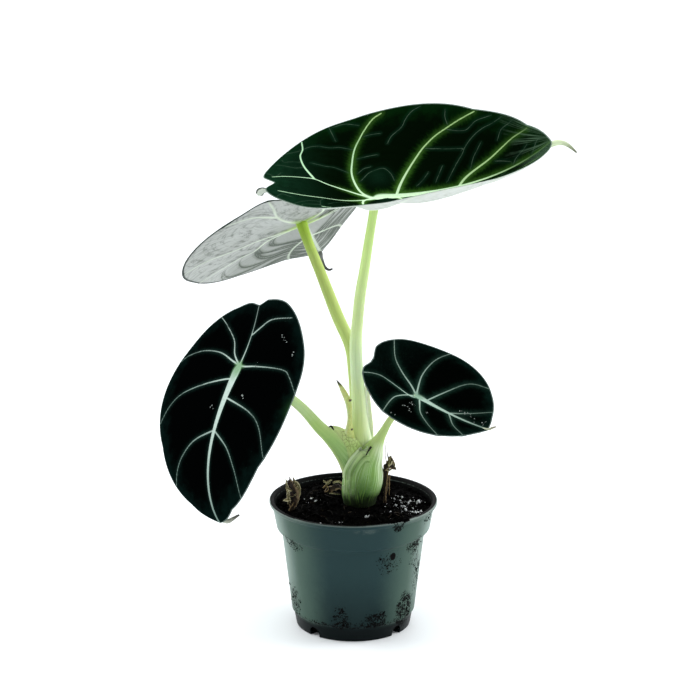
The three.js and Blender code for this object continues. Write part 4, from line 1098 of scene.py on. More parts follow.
# A blade is drawn flat, u from the hub, where the stalk joins, towards the tip, and v across to the left.
# radius holds the outline's distance from the hub at OUTLINE_ANGLES from the tip. heading, rise and roll turn
# the whole blade, bend and back_bend curve its midrib before and behind the hub, and fold and cup tilt a
# half. veins holds the left line and the right one of each pair, or one for both, and lace the finer veins.
# halves are the half widths, from root to end, of the midrib and of the other main veins. swell is a swollen
# spot and green_edge a greener stretch of the margin. dust is in flat places, and curl and tip are knots.
OUTLINE_ANGLES = (0, 12, 36, 75, 115, 150, 170, 180)
LEAVES = {
    "a": {
        "hub": (7.7, 0, 155.4), "heading": 8.7, "rise": 0.8, "roll": 16, "bend": (25, -1.5, 23.4),
        "back_bend": (17.7, -3),
        "left": {
            "radius": (65.4, 59.5, 49, 41.5, 41, 40.3, 39.7, 36.4), "fold": (6.7, 36.8, -15), "cup": 22.7,
        },
        "right": {
            "radius": (65.4, 61.3, 47.4, 40.3, 41, 38.5, 41, 36.4), "fold": (13.5, 17.4, -12.4),
            "cup": 27.9,
        },
        "veins": [
            [[(29, 0), (32, 3), (36, 5.2), (42.2, 7.5), (47, 9.5), (52, 11), (58, 11)]],
            [
                [
                    (7, 0), (9.5, 6), (12.5, 11.2), (16, 16), (20, 20.5), (24.8, 23.8), (29.5, 25.5),
                    (34.5, 26.8), (40.2, 27.5),
                ],
            ],
            [
                [
                    (0, 0), (-2.2, 0.8), (-5.2, 4.8), (-6.5, 13.2), (-5.5, 20.5), (-3.5, 27.5), (0.5, 33.8),
                    (4.2, 37.8), (7.5, 39.2),
                ],
            ],
            [
                [(-20.5, 9.3), (-23, 18.2), (-23.5, 25.2), (-22.2, 29.2), (-22, 33.7)],
                [(-23.5, 25.2), (-22.2, 29.2), (-22, 33.7)],
            ],
            [
                [(0, 0), (-8, 3), (-15.8, 6.2), (-20.5, 9.4), (-25.2, 10), (-31.5, 9.8), (-36, 8.2)],
                [(0, 0), (-11.8, 7.2), (-20, 8), (-28, 8.2), (-36, 7)],
            ],
        ],
        "lace": [
            [(-20.5, 9.3), (-23, 18.2), (-23.5, 25.2)],
            [(-22.8, 29), (-19.8, 30.2), (-16.8, 29.8), (-12.8, 28), (-9, 28), (-4.5, 26.8)],
            [(-23, 28.8), (-25.8, 28.2), (-28.2, 28.2)],
            [(-23.8, 21.5), (-26.5, 22), (-29.5, 21.8), (-30.2, 23.5)],
            [(-23, 18), (-27.2, 17.2), (-30.2, 18.8), (-32.5, 20.2)],
            [(-37.2, 12.5), (-34.8, 9.8), (-32.2, 12.8)],
            [(-20.2, 20.5), (-15.8, 17.5), (-12.5, 17), (-7.8, 15.2)],
            [(-11.8, 38.8), (-10.8, 34.2), (-10.2, 31.5)], [(-10, 38.5), (-6.2, 39), (-1.2, 37.2)],
            [(-3.2, 22), (-0.2, 22), (3.8, 21.5)], [(0.5, 31.8), (3.2, 31.5), (6, 30.8)],
            [(-4.2, 14.5), (-2, 16.2), (0.5, 16.5)],
            [(8.2, 25.8), (10.2, 28.5), (13.8, 30.8), (15.8, 33.8), (18.2, 36), (20.8, 36.8)],
            [(-4, 10), (-0.8, 13), (1.8, 14), (5, 14.5), (7, 11.8), (7.8, 8.8)],
            [
                (26, 3.5), (29.8, 9), (33, 12.8), (34.8, 15.5), (38.5, 18.5), (42.2, 19.8), (46, 20),
                (49, 20.5),
            ],
            [(20.5, 20.2), (24, 18.5), (28.2, 16.8), (33.5, 15)],
            [(29.2, 25), (33, 22.8), (36, 21.8), (38.2, 22.8), (40.5, 23.8), (45.5, 23.2)],
            [(29.8, 27), (29.5, 29.8), (30, 32)], [(34.8, 6.5), (36.5, 10), (38.8, 12.8), (40.2, 14.5)],
            [(46.5, 13.2), (48.5, 16), (51.8, 16.8), (53.8, 17.2)],
            [(50, 1.5), (51.2, 2.8), (54, 4), (56, 5)], [(44, 5.5), (48.8, 2.8)],
            [(15.5, 4.2), (17.8, 6.2), (19.8, 8.5)], [(22, 4.5), (23.5, 7), (25.2, 10)],
            [(57, 0.8), (59.8, 3.8), (61, 4.5)],
        ],
        "swell": (2.6, 10, 4.2),
        "curl": [
            (-28.8, -11.2, 160.8, 0.4, 0), (-30.6, -11.6, 161, 1.1, 0), (-31.9, -11.9, 160.4, 1.5, 10),
            (-32.9, -12, 159.8, 0.9, 40),
        ],
        "halves": ((2.6, 0.38), (0.6, 0.26)),
        "tip": [(69.1, 4, 174.2, 1.05), (72, 4, 174.4, 0.85), (74.5, 4, 173.2, 0.65), (77, 4, 171, 0.25)],
    },
    "b": {
        "hub": (-18.9, 40, 138.7), "heading": 85.7, "rise": -19.8, "roll": -19, "bend": (-3.8, -1.3, -1.3),
        "back_bend": (0, 11.5), "halves": ((1.5, 0.3), (0.8, 0.2)),
        "left": {
            "radius": (73.6, 61.5, 53.6, 47.1, 47.5, 39.6, 39.5, 33.7), "fold": (0.4, -5.2, -1.3),
            "cup": -16.6,
        },
        "right": {
            "radius": (73.6, 62.9, 52.3, 46.1, 44.2, 40.3, 39, 33.7), "fold": (2.1, 24.5, -4.7),
            "cup": 21.4,
        },
        "veins": [
            [[(35, 0), (44, 7), (50, 10), (55, 11.5), (60.8, 12)]],
            [[(7.2, 0), (10, 10.2), (11.5, 15), (18.5, 20.8), (17.2, 27), (17.5, 33), (16, 44)]],
            [[(6, 0), (7.2, 7.8), (3.2, 17.2), (-0.5, 26.8), (-8.2, 37.8), (-9.2, 46.5)]],
            [[(-20.5, 6.5), (-29.5, 14.5), (-32.2, 25)]],
            [
                [(0, 0), (-10, 4), (-20.5, 6.5), (-31, 6.5), (-38.9, 6.9)],
                [(0, 0), (-3, 5), (-9, 9), (-20, 10), (-30, 8.5), (-38.4, 6.8)],
            ],
        ],
        "tip": [
            (-12.8, 106, 110.8, 1), (-12.4, 110.4, 107.6, 0.8), (-11.1, 112, 104, 0.6),
            (-9.5, 113, 102.5, 0.5), (-8, 113, 102.9, 0.35),
        ],
    },
    "c": {
        "hub": (-39.1, -16, 100.1), "heading": -130.6, "rise": -50.2, "roll": 10.4,
        "bend": (-15.8, -38.7, -13.6), "back_bend": (0, 20.7),
        "left": {
            "radius": (57.8, 51.5, 41.1, 31.3, 28.1, 28.3, 25.1, 22.5), "fold": (2.9, -0.1, -0.7),
            "cup": -25.7,
        },
        "right": {
            "radius": (57.8, 53.1, 41.2, 31.6, 26, 23, 23.2, 22.5), "fold": (6.8, 2.5, -1.3), "cup": -8.4,
        },
        "veins": [
            [[(24, 0), (29, 8.3), (35, 13), (40, 15.2), (46, 16.6)]],
            [
                [(12, 0), (15.7, 14.5), (20.5, 21.2), (29.8, 25.9)],
                [(5.2, 0), (6, 4), (9.5, 13), (14, 21), (19, 25), (26, 27.5)],
            ],
            [
                [(0, 0), (0, 3.5), (-0.7, 9.3), (-1.4, 21), (0.5, 25), (5.9, 30.4)],
                [(0, 0), (-1.3, 4.3), (-3.4, 11.5), (-3, 20), (-0.2, 26.5), (2.9, 29.7)],
            ],
            [
                [(-11.4, 0), (-14.6, 3.7), (-18, 8.6), (-19.8, 17.8)],
                [(0, 0), (-3.8, 4.5), (-9.1, 7.7), (-14.8, 15), (-16.4, 18.3)],
            ],
        ],
        "back_rib": True,
        "dust": [(-13.2, 16.8), (-7.5, 23.2), (16.8, -4), (10.8, 9), (-11.5, 17.5), (-1, 9)],
        "green_edge": (11, 3.6), "halves": ((2.3, 0.42), (0.42, 0.17)),
        "tip": [
            (-45.2, -30, 49.4, 1), (-44, -30.5, 48.8, 0.9), (-42.8, -31, 49, 0.8),
            (-41.1, -31.5, 50.2, 0.6), (-39.3, -32, 51.5, 0.35),
        ],
    },
    "d": {
        "hub": (22, -14, 88.3), "heading": -30.8, "rise": -19.6, "roll": 10.4, "bend": (4.6, 7.3, 2.4),
        "back_bend": (0.2, 30.4),
        "left": {
            "radius": (29.1, 27.9, 25.9, 23.9, 22.9, 23.7, 23.7, 21), "fold": (19, 0.2, 0.4), "cup": -2.7,
        },
        "right": {
            "radius": (29.1, 27.9, 25.8, 22.6, 20.6, 21.7, 20.4, 21), "fold": (12.9, -5, -0.2), "cup": -11,
        },
        "veins": [
            [[(12.9, 0), (18.8, 3.3), (26.3, 8)], [(12.2, 0), (14, 1), (18.9, 6.6), (25.2, 10.2)]],
            [
                [(3.5, 0), (6.3, 6.1), (10, 13.2), (13.3, 16), (19, 17)],
                [(1, 0), (3.4, 4), (7.2, 9.6), (12.9, 13.9), (18.7, 16.9)],
            ],
            [
                [(0, 0), (-1.4, 2.3), (-3.9, 8.2), (-4.6, 14), (-3.9, 18.7), (-1.6, 23.2)],
                [(0, 0), (-2.4, 3), (-4, 8.4), (-3.5, 13.5), (-1.5, 21.1)],
            ],
            [
                [(0, 0), (-4.4, 2.7), (-11, 5), (-15.8, 7.1), (-20.7, 11.5)],
                [(0, 0), (-1, 2.3), (-8.2, 2.4), (-13.4, 4), (-16, 7.5), (-17.8, 12)],
            ],
        ],
        "halves": ((1.7, 0.4), (0.42, 0.17)),
        "dust": [
            (1, -12.2), (1.5, -7.2), (2.5, -7.2), (8.5, -7.8), (4.2, -12.8), (1.8, -19.5), (16.8, 2.2),
            (18.8, 3), (20.2, 3.5), (22.5, 2), (25.8, 2.8), (26.5, 1),
        ],
        "tip": [(46, -29.3, 81.5, 0.4), (47.3, -30, 82.2, 0.4), (48.6, -30.5, 82.8, 0.25)],
    },
}
BLADE_THICK = 0.55
EDGE_THICK = 0.2
PUFF = 1.0
PUFF_REACH = 4.5
SWELL_LIFT = 0.9
RIB = 0.8
RIB_HALF = 1.1
CUP_WIDTH = 40
SHEAR = 0.3
QUILT = 0.16  # how deep the cross veins sink into the upper side, while they stand out below
QUILT_HALF = 0.7
BEAD = 0.14  # how high the veins of the upper side stand
BEAD_HALF = 0.4
OUTLINE_RAYS = 2400
MARK_SPACING = 0.08
LACE_HALF = (0.11, 0.07)
ARC_HALF = (0.24, 0.14)
ARC_SPACING = 2.3
NO_VEIN = 99.0


class Blade:
    """The form of one leaf blade, and the lines of its veins on the flat."""

    def __init__(self, leaf):
        self.leaf = leaf
        heading, rise, roll = (math.radians(leaf[key]) for key in ("heading", "rise", "roll"))
        level_part = math.cos(rise)
        ahead = (level_part * math.cos(heading), level_part * math.sin(heading), math.sin(rise))
        level = np.array((-math.sin(heading), math.cos(heading), 0))
        self.along = np.array(ahead)
        self.across = level * math.cos(roll) + np.cross(self.along, level) * math.sin(roll)
        self.up = np.cross(self.along, self.across)
        self.front = leaf["left"]["radius"][0]
        self.back = leaf["left"]["radius"][-1]

    def slope(self, u):
        """How steeply the midrib line rises at u, in radians."""
        ahead = np.maximum(u, 0) / self.front
        behind = np.maximum(-u, 0)
        bend, back = self.leaf["bend"], self.leaf["back_bend"]
        crease = back[0] * (1 - np.exp(-behind / 6))
        rise = bend[0] * ahead + bend[1] * ahead**2 + bend[2] * ahead**3
        return np.radians(rise - back[1] * behind / self.back - crease)

    def at(self, flat, steps=24):
        """The blade's middle surface at flat places."""
        u, v = flat[:, 0], flat[:, 1]
        reach = np.clip(u / self.front, -1.2, 1.2)
        left, right = self.leaf["left"], self.leaf["right"]
        share = 1 / (1 + np.exp(-v / 0.4))
        folds = []
        for level, linear, square in (left["fold"], right["fold"]):
            folds.append(level + linear * reach + square * reach**2)
        fold_angle = folds[1] + (folds[0] - folds[1]) * share
        cup = right["cup"] + (left["cup"] - right["cup"]) * share
        ahead, lift, side, fall = (np.zeros(len(flat)) for _ in range(4))
        for part in (np.arange(steps) + 0.5) / steps:
            slope = self.slope(u * part)
            tilt = np.radians(fold_angle + cup * part * np.abs(v) / CUP_WIDTH)
            ahead += np.cos(slope) * u / steps
            lift += np.sin(slope) * u / steps
            side += np.cos(tilt) * v / steps
            fall += np.sin(tilt) * np.abs(v) / steps
        lean = SHEAR * self.slope(u)
        return (
            np.array(self.leaf["hub"])
            + np.outer(ahead - fall * np.sin(lean), self.along)
            + np.outer(lift + fall * np.cos(lean), self.up)
            + np.outer(side, self.across)
        )

    def normal(self, flat, step=0.5):
        along = self.at(flat + (step, 0)) - self.at(flat - (step, 0))
        across = self.at(flat + (0, step)) - self.at(flat - (0, step))
        normal = np.cross(along, across)
        return normal / np.linalg.norm(normal, axis=1)[:, None]

    def outline_radius(self, flat):
        """The outline's distance from the hub in the direction of each flat place."""
        angle = np.degrees(np.arctan2(np.abs(flat[:, 1]), flat[:, 0]))
        before = np.clip(np.searchsorted(OUTLINE_ANGLES, angle, "right") - 1, 0, len(OUTLINE_ANGLES) - 2)
        knots = np.array(OUTLINE_ANGLES, float)
        part = (angle - knots[before]) / (knots[before + 1] - knots[before])
        radii = []
        for half in ("left", "right"):
            r = np.array(self.leaf[half]["radius"], float)
            ends = np.concatenate([[r[0]], r, [r[-1]]])
            radii.append(spline(*(ends[before + k] for k in range(4)), part))
        return np.where(flat[:, 1] < 0, radii[1], radii[0])

    def main_veins(self):
        """The midrib and the paired veins, each as its line and its half widths."""
        midrib, lateral = self.leaf["halves"]
        lines = [([(-1, 0), (self.front * 0.5, 0), (self.front, 0)], midrib)]
        if self.leaf.get("back_rib"):
            lines.append(([(0, 0), (-self.back * 0.5, 0), (-self.back, 0)], lateral))
        for pair in self.leaf["veins"]:
            for number, side in ((0, 1), (-1, -1)):
                lines.append((np.array(pair[number]) * (1, side), lateral))
        return lines

    def lace_veins(self):
        """The few fine veins that show on the upper side, the same on both halves."""
        lines = self.leaf.get("lace", [])
        return [(np.array(line) * (1, side), LACE_HALF) for line in lines for side in (1, -1)]

    def arc_veins(self):
        """The cross veins of the underside: bowed towards the margin, from each main vein to the next."""
        chance = np.random.default_rng(len(self.leaf["tip"]) + int(self.front))
        lines = []
        for side, number in ((1, 0), (-1, -1)):
            guides = [smooth_line(np.array(pair[number]) * (1, side), 81) for pair in self.leaf["veins"]]
            guides.insert(0, smooth_line([(self.front * 0.55, 0), (self.front, 0)], 81))
            guides.append(smooth_line([(0, 0), (-self.back, 0)], 81))
            for first, second in zip(guides, guides[1:]):
                reach = np.linalg.norm(np.diff(first, axis=0), axis=1).sum()
                for place in np.arange(8, 78, 80 * ARC_SPACING / reach):
                    i = int(place + chance.uniform(-2, 2))
                    root, far = first[i], second[i]
                    onward = root - first[i - 4] + far - second[i - 4]
                    onward /= np.linalg.norm(onward)
                    bow = onward * np.linalg.norm(far - root) * chance.uniform(0.3, 0.42)
                    knots = [root, root * 0.78 + far * 0.22 + bow * 0.72, (root + far) / 2 + bow]
                    knots += [root * 0.22 + far * 0.78 + bow * 0.72, far]
                    lines.append((np.array(knots) + chance.normal(0, 0.16, (5, 2)), ARC_HALF))
        return lines

    def beside(self, flat, lines, name):
        """How far each place is from the nearest line, on which side, and that line's half width and run."""
        if not lines:
            return {name: np.full(len(flat), NO_VEIN), name + "_side": np.full(len(flat), NO_VEIN)}
        marks, notes = [], []
        for number, (knots, (start, end)) in enumerate(lines):
            length = np.linalg.norm(np.diff(knots, axis=0), axis=1).sum()
            line = smooth_line(knots, max(8, int(length / MARK_SPACING)))
            share = np.linspace(0, 1, len(line))
            half = end + (start - end) * np.exp(-3.6 * share) * (1 - np.exp(-share * length / 1.6))
            marks.append(line)
            notes.append(np.column_stack([np.gradient(line, axis=0), half, share * length + 53 * number]))
        marks = np.vstack(marks)
        away, which = nearest(flat, marks)
        heading, (half, run) = np.vstack(notes)[which][:, :2], np.vstack(notes)[which][:, 2:].T
        off = flat - marks[which]
        side = np.sign(heading[:, 0] * off[:, 1] - heading[:, 1] * off[:, 0])
        fields = {"": away, "_side": away * side, "_half": half, "_run": run}
        return {name + ending: values for ending, values in fields.items()}


def blade_shell(blade, step):
    """The closed blade: its top, its underside and the rounded edge between them, with its flat places."""
    turn = np.linspace(0, 2 * np.pi, OUTLINE_RAYS, endpoint=False)
    ray = np.column_stack([np.cos(turn), np.sin(turn)])
    fine = ray * blade.outline_radius(ray)[:, None]
    run = run_along(np.vstack([fine, fine[:1]]))
    count = int(run[-1] / step)
    spread = np.interp(np.linspace(0, run[-1], count, endpoint=False), run, np.arange(len(run)))
    outline = fine[spread.astype(int) % len(fine)]

    def inside(grid):
        gap = blade.outline_radius(grid) - np.hypot(*grid.T)
        return (gap > 0) & (nearest(grid, fine)[0] > 0.5 * step)

    flat, triangles = flat_triangles(outline, step, inside)
    middles = flat[triangles].mean(1)
    triangles = triangles[np.hypot(*middles.T) < blade.outline_radius(middles)]  # none across the back notch
    rim = nearest(flat, fine)[0]
    share = np.hypot(*flat.T) / blade.outline_radius(flat)
    fields = {"rim": rim, "share": share}
    fields |= {"ahead": flat[:, 0] / blade.front, "aside": flat[:, 1] / blade.front}
    midrib, *laterals = blade.main_veins()
    fields |= blade.beside(flat, [midrib], "midrib")
    fields |= blade.beside(flat, laterals, "lateral")
    off_midrib, off_lateral = (fields[kind] - fields[kind + "_half"] for kind in ("midrib", "lateral"))
    fields["off_vein"] = np.minimum(off_midrib, off_lateral)
    for ending in ("", "_side", "_run"):
        values = fields["midrib" + ending], fields["lateral" + ending]
        fields["vein" + ending] = np.where(off_midrib < off_lateral, *values)
    fields |= blade.beside(flat, blade.lace_veins(), "lace")
    fields |= blade.beside(flat, blade.arc_veins(), "arc")
    swell_u, swell_v, swell_reach = blade.leaf.get("swell", (NO_VEIN, 0, 1))
    swell_off = np.hypot(flat[:, 0] - swell_u, np.abs(flat[:, 1]) - swell_v)
    fields["swell"] = np.exp(-((swell_off / swell_reach) ** 2))
    green_u, green_reach = blade.leaf.get("green_edge", (NO_VEIN, 1))
    green = np.exp(-(((flat[:, 0] - green_u) / green_reach) ** 2)) * np.exp(-rim / 0.9)
    fields["green"] = green * (flat[:, 1] > 0)
    away = np.maximum(fields["vein"] - 0.2, 0)
    puff = PUFF * (1 - np.exp(-((away / PUFF_REACH) ** 2))) * (1 - share**6) + SWELL_LIFT * fields["swell"]
    quilt = QUILT * np.exp(-((fields["arc"] / QUILT_HALF) ** 2)) * np.clip(away / 3, 0, 1) * (1 - share**4)
    bead = BEAD * np.exp(-((away / BEAD_HALF) ** 2)) * (1 - 0.7 * share)
    rib = RIB * np.exp(-((away / RIB_HALF) ** 2)) * (1 - 0.8 * share)
    half = EDGE_THICK / 2 + (BLADE_THICK - EDGE_THICK) / 2 * (1 - np.exp(-rim / 1.2))
    middle = blade.at(flat)
    normal = blade.normal(flat)
    upper = middle + normal * (half + puff - quilt + bead)[:, None]
    under = middle + normal * (puff - half - rib - quilt * 1.4)[:, None]
    count = len(flat)
    ring = np.arange(len(outline))
    following = np.roll(ring, -1)
    outward = blade.at(outline * (1 + 0.1 / np.linalg.norm(outline, axis=1)[:, None]))
    edge = outward + normal[ring] * puff[ring][:, None]
    faces = [*map(tuple, triangles), *map(tuple, triangles[:, ::-1] + count)]
    numbers = [0] * len(triangles) + [1] * len(triangles)
    for i, k in zip(ring, following):
        faces.append((k, i, 2 * count + i, 2 * count + k))
        faces.append((2 * count + k, 2 * count + i, count + i, count + k))
        numbers += [0, 1]
    fields = {name: np.concatenate([values, values, values[ring]]) for name, values in fields.items()}
    points = np.vstack([upper, under, edge])
    return {"points": points, "faces": faces, "finish": np.array(numbers), "fields": fields}, flat


def vein_line(finish, name, soft=0.1):
    """1 on the veins of a kind and 0 beside them, crisp even where a vein is thinner than a triangle."""
    half = finish.field(name + "_half")
    outside = abs(finish.field(name + "_side")) - half
    return outside.rise(soft, -soft) * (finish.field(name) - half).rise(1, 0.5)


def velvet(
    name, dark, edge, haze_and_sheen, deep, backlit_glow, vein, far_vein, back_vein, lace, margin, hub, glow_reach,
    lit_from=-2, streaky=0, shine=0.0,
):
    """The upper side: velvet, blackest between the veins, with painted backlight beside them and pale veins.
    """
    finish = Finish("velvet " + name, {"IOR": 1.3, "Specular IOR Level": shine})
    away = finish.field("off_vein")
    share = finish.field("share")
    rim = finish.field("rim")
    lateral = (finish.field("midrib") - finish.field("midrib_half")).rise(-0.1, 0.3)
    mottle = finish.speckle(3.2, 4, 0.6)
    nap = finish.speckle(0.3, 2, 0.6)
    feather = finish.streaks(finish.field("vein_run"), away * 0.35, 1.3, rough=0.7)
    # Painted sheen lightens the velvet towards its margin.
    tint = finish.blend(dark, edge, (share + mottle * 0.3).rise(0.96, 1.2))
    # A paler haze on the back lobes, and a painted sheen over the swell.
    behind = (finish.field("ahead") + mottle * 0.3).rise(0, -0.45)
    hazy = behind * (mottle * 1.9 - 0.25) + finish.field("swell") * 0.5
    tint = finish.blend(tint, haze_and_sheen, hazy)
    # Painted light shining through the blade tints it deep and glowing beside the veins, where it is lit.
    near = (1 - away / (glow_reach * (0.2 + feather * 1.3))).rise(0, 1)
    lit = finish.field("ahead").rise(lit_from, lit_from + 0.2) * (1.15 - share * 0.8)
    tint = finish.blend(tint, deep, near * lit * (0.4 + mottle * 0.9))
    tint = finish.blend(tint, backlit_glow, near**4 * lit * (0.2 + mottle * 0.8))
    stipple = finish.speckle(0.35, 3, 0.7, seed=0.9).rise(0.58, 0.72)
    grainy = hazy * 0.6 + near * 0.4 + finish.field("ahead").rise(0.7, 0.95) * streaky
    tint = finish.blend(tint, finish.blend(deep, lace, 0.4), stipple * grainy * 0.6)
    thread = vein_line(finish, "lace", 0.06) * (mottle + nap * 0.3).rise(0.35, 0.8)
    tint = finish.blend(tint, haze_and_sheen, finish.field("lace").rise(1.6, 0) * 0.45)
    tint = finish.blend(tint, lace, thread * (0.55 + finish.field("ahead").rise(-0.4, 0.3) * 0.2))
    toward_tip = finish.field("aside") / (1.04 - finish.field("ahead"))
    streaks = finish.streaks(toward_tip * 17, finish.field("ahead") * 3, detail=3.0)
    streaks = streaks.rise(0.44, 0.6) * (finish.field("ahead") + mottle * 0.2).rise(0.82, 1.06)
    tint = finish.blend(tint, finish.blend(haze_and_sheen, back_vein, 0.13), streaks * streaky)
    ragged = finish.speckle(0.7, 3, 0.7)
    lines = 1 - (1 - vein_line(finish, "midrib", 0.12)) * (1 - vein_line(finish, "lateral", 0.12))
    cord = (away + (ragged - 0.5) * 0.5 * (1 - lateral * 0.6)).rise(0.12, -0.12) * lines
    paleness = (share + lateral * 0.3 + (ragged - 0.5) * 0.3).rise(0.2, 1.15)
    strength = cord * (0.6 + ragged * 0.6) * (1 - finish.field("ahead").rise(0.7, 0.92) * streaky)
    strength = strength * (1 - (1 - lateral) * finish.field("ahead").rise(0.5, 0.8) * streaky * 0.7)
    far = finish.blend(back_vein, far_vein, finish.field("ahead").rise(-0.2, 0.1))
    tint = finish.blend(tint, finish.blend(vein, far, paleness), strength)
    tint = finish.blend(tint, hub, share.rise(0.13, 0.03) * away.rise(0.7, 0) * 0.75)
    tint = finish.blend(tint, (0.022, 0.070, 0.018), finish.field("green") * 0.6)
    # Painted sheen along the thin rim.
    finish.set({"Base Color": finish.blend(tint, margin, (rim + (ragged - 0.5) * 0.5).rise(0.38, 0.1) * 0.7)})
    finish.set({"Roughness": 0.8 - cord * 0.25 + nap * 0.1})
    finish.bump(nap + cord * 0.3, 0.05, 0.4)
    return finish


def satin_underside(name, pale, dark, hub, vein, margin, painted_shade_weight):
    """The underside: pale satin with paler ribs, painted shade on one half and along its thin cross veins."""
    finish = Finish("underside " + name, {"IOR": 1.35, "Specular IOR Level": 0.25})
    away = finish.field("off_vein")
    share = finish.field("share")
    rim = finish.field("rim")
    mottle = finish.speckle(3, 4, 0.6)
    # Painted shade darkens the blade towards its tip and its right half.
    shaded = finish.field("ahead") * 1.1 - finish.field("aside") * 0.9 + 0.07 + mottle * 0.1
    shade = shaded.rise(0, 0.4) * painted_shade_weight
    wrinkles = finish.streaks(finish.field("vein_run") * 0.14, finish.field("vein_side") * 0.8)
    tint = finish.blend(pale, dark, shade * 0.62 + wrinkles.rise(0.45, 0.68) * (0.34 - shade * 0.26))
    # Painted shade in the valleys by the cross veins, and a painted highlight on the ridges between them.
    valley = (finish.field("arc") + mottle * 0.4).rise(1.1, 0.2)
    strength = 0.35 * mottle.rise(0.4, 0.65) + shade * (0.8 + mottle * 0.6)
    tint = finish.blend(tint, dark, valley * 0.9 * strength)
    tint = finish.blend(tint, pale, (finish.field("arc") + mottle * 0.6).rise(1.2, 2.0) * shade * 0.35)
    # The dark arc lines along the cross veins are painted shade.
    arcs = vein_line(finish, "arc", 0.16) * away.rise(0.2, 1)
    tint = finish.blend(tint, finish.blend(dark, margin, 0.6), arcs * strength)
    tint = finish.blend(tint, vein, away.rise(0.6, -0.2) * (0.95 - share * 0.45))
    tint = finish.blend(tint, hub, share.rise(0.3, 0.04) * away.rise(1.6, 0) * 0.9)
    finish.set({"Base Color": finish.blend(tint, margin, (rim - finish.field("aside") * 0.5).rise(0.6, 0.2))})
    finish.set({"Roughness": 0.5 + mottle * 0.2})
    finish.bump(wrinkles * 0.5 + (1 - valley), 0.14, 0.7)
    return finish


def tip_flesh(name, colour, end):
    """The thick drip tip, pale at its root and browner at its end."""
    finish = Finish("drip tip " + name, {"Roughness": 0.5, "Specular IOR Level": 0.3})
    mottle = finish.speckle(0.8, 3)
    along = finish.field("along") + mottle * 0.3
    finish.set({"Base Color": finish.blend(colour, end, along.rise(0.55, 1.15))})
    finish.bump(mottle, 0.05)
    return finish


def curled_edge():
    """The end of the near back lobe, which has curled over: pale inside, with a dried dark rim."""
    finish = Finish("curled edge", {"Roughness": 0.6, "Specular IOR Level": 0.1})
    mottle = finish.speckle(0.6, 3)
    across = abs(finish.field("across")) + mottle * 0.4
    finish.set({"Base Color": finish.blend((0.55, 0.60, 0.52), (0.03, 0.04, 0.03), across.rise(0.75, 1.05))})
    finish.bump(mottle, 0.05)
    return finish


def mineral_dust():
    """Specks of pale dust that have settled on the velvet."""
    finish = Finish("mineral dust", {"Roughness": 0.9})
    finish.set({"Base Color": finish.blend((0.10, 0.13, 0.11), (0.34, 0.38, 0.36), finish.field("grain"))})
    return finish


# dark lies between the veins, edge is a painted sheen near the margin, haze_and_sheen a paler haze on the
# back lobes and a painted sheen on the swell, and deep and backlit_glow are painted light shining through
# beside the veins. A vein turns from vein at its root to far_vein, or to back_vein on the back lobes. lace is
# for the fine veins, margin is a painted sheen along the thin rim, and hub for the place where the veins
# meet.
# glow_reach is in millimetres, lit_from is how far along the blade the painted glow starts, and streaky how
# the veins fray at the tip.
TOP_TINTS = {
    "a": {
        "dark": (0.0008, 0.0032, 0.0008), "edge": (0.0014, 0.013, 0.0022), "haze_and_sheen": (0.0042, 0.022, 0.0105),
        "deep": (0.004, 0.024, 0.002), "backlit_glow": (0.054, 0.156, 0.021), "vein": (0.62, 0.86, 0.56),
        "far_vein": (0.37, 0.58, 0.23), "back_vein": (0.46, 0.74, 0.46), "lace": (0.1, 0.15, 0.1),
        "margin": (0.2, 0.27, 0.22), "hub": (0.6, 0.84, 0.56), "glow_reach": 4.4, "lit_from": -0.26,
        "streaky": 0.85,
    },
    "b": {
        "dark": (0.001, 0.003, 0.002), "edge": (0.003, 0.014, 0.009), "haze_and_sheen": (0.004, 0.016, 0.01),
        "deep": (0.005, 0.026, 0.006), "backlit_glow": (0.06, 0.16, 0.045), "vein": (0.45, 0.62, 0.45),
        "far_vein": (0.15, 0.28, 0.13), "back_vein": (0.29, 0.41, 0.29), "lace": (0.1, 0.15, 0.1),
        "margin": (0.2, 0.27, 0.22), "hub": (0.2, 0.4, 0.16), "glow_reach": 4.0, "shine": 0.02,
    },
    "c": {
        "dark": (0.0004, 0.0006, 0.0006), "edge": (0.0018, 0.0066, 0.0055), "haze_and_sheen": (0.0008, 0.002, 0.0018),
        "deep": (0.0012, 0.0044, 0.0034), "backlit_glow": (0.007, 0.019, 0.015), "vein": (0.45, 0.56, 0.5),
        "far_vein": (0.15, 0.22, 0.19), "back_vein": (0.29, 0.37, 0.33), "lace": (0.08, 0.12, 0.1),
        "margin": (0.15, 0.2, 0.18), "hub": (0.12, 0.26, 0.11), "glow_reach": 2.4,
    },
    "d": {
        "dark": (0.0004, 0.0008, 0.0006), "edge": (0.002, 0.008, 0.006), "haze_and_sheen": (0.001, 0.0034, 0.0026),
        "deep": (0.0024, 0.0095, 0.0064), "backlit_glow": (0.013, 0.035, 0.025), "vein": (0.4, 0.54, 0.46),
        "far_vein": (0.14, 0.2, 0.165), "back_vein": (0.26, 0.35, 0.3), "lace": (0.08, 0.12, 0.1),
        "margin": (0.15, 0.2, 0.18), "hub": (0.2, 0.34, 0.24), "glow_reach": 3.5,
    },
}
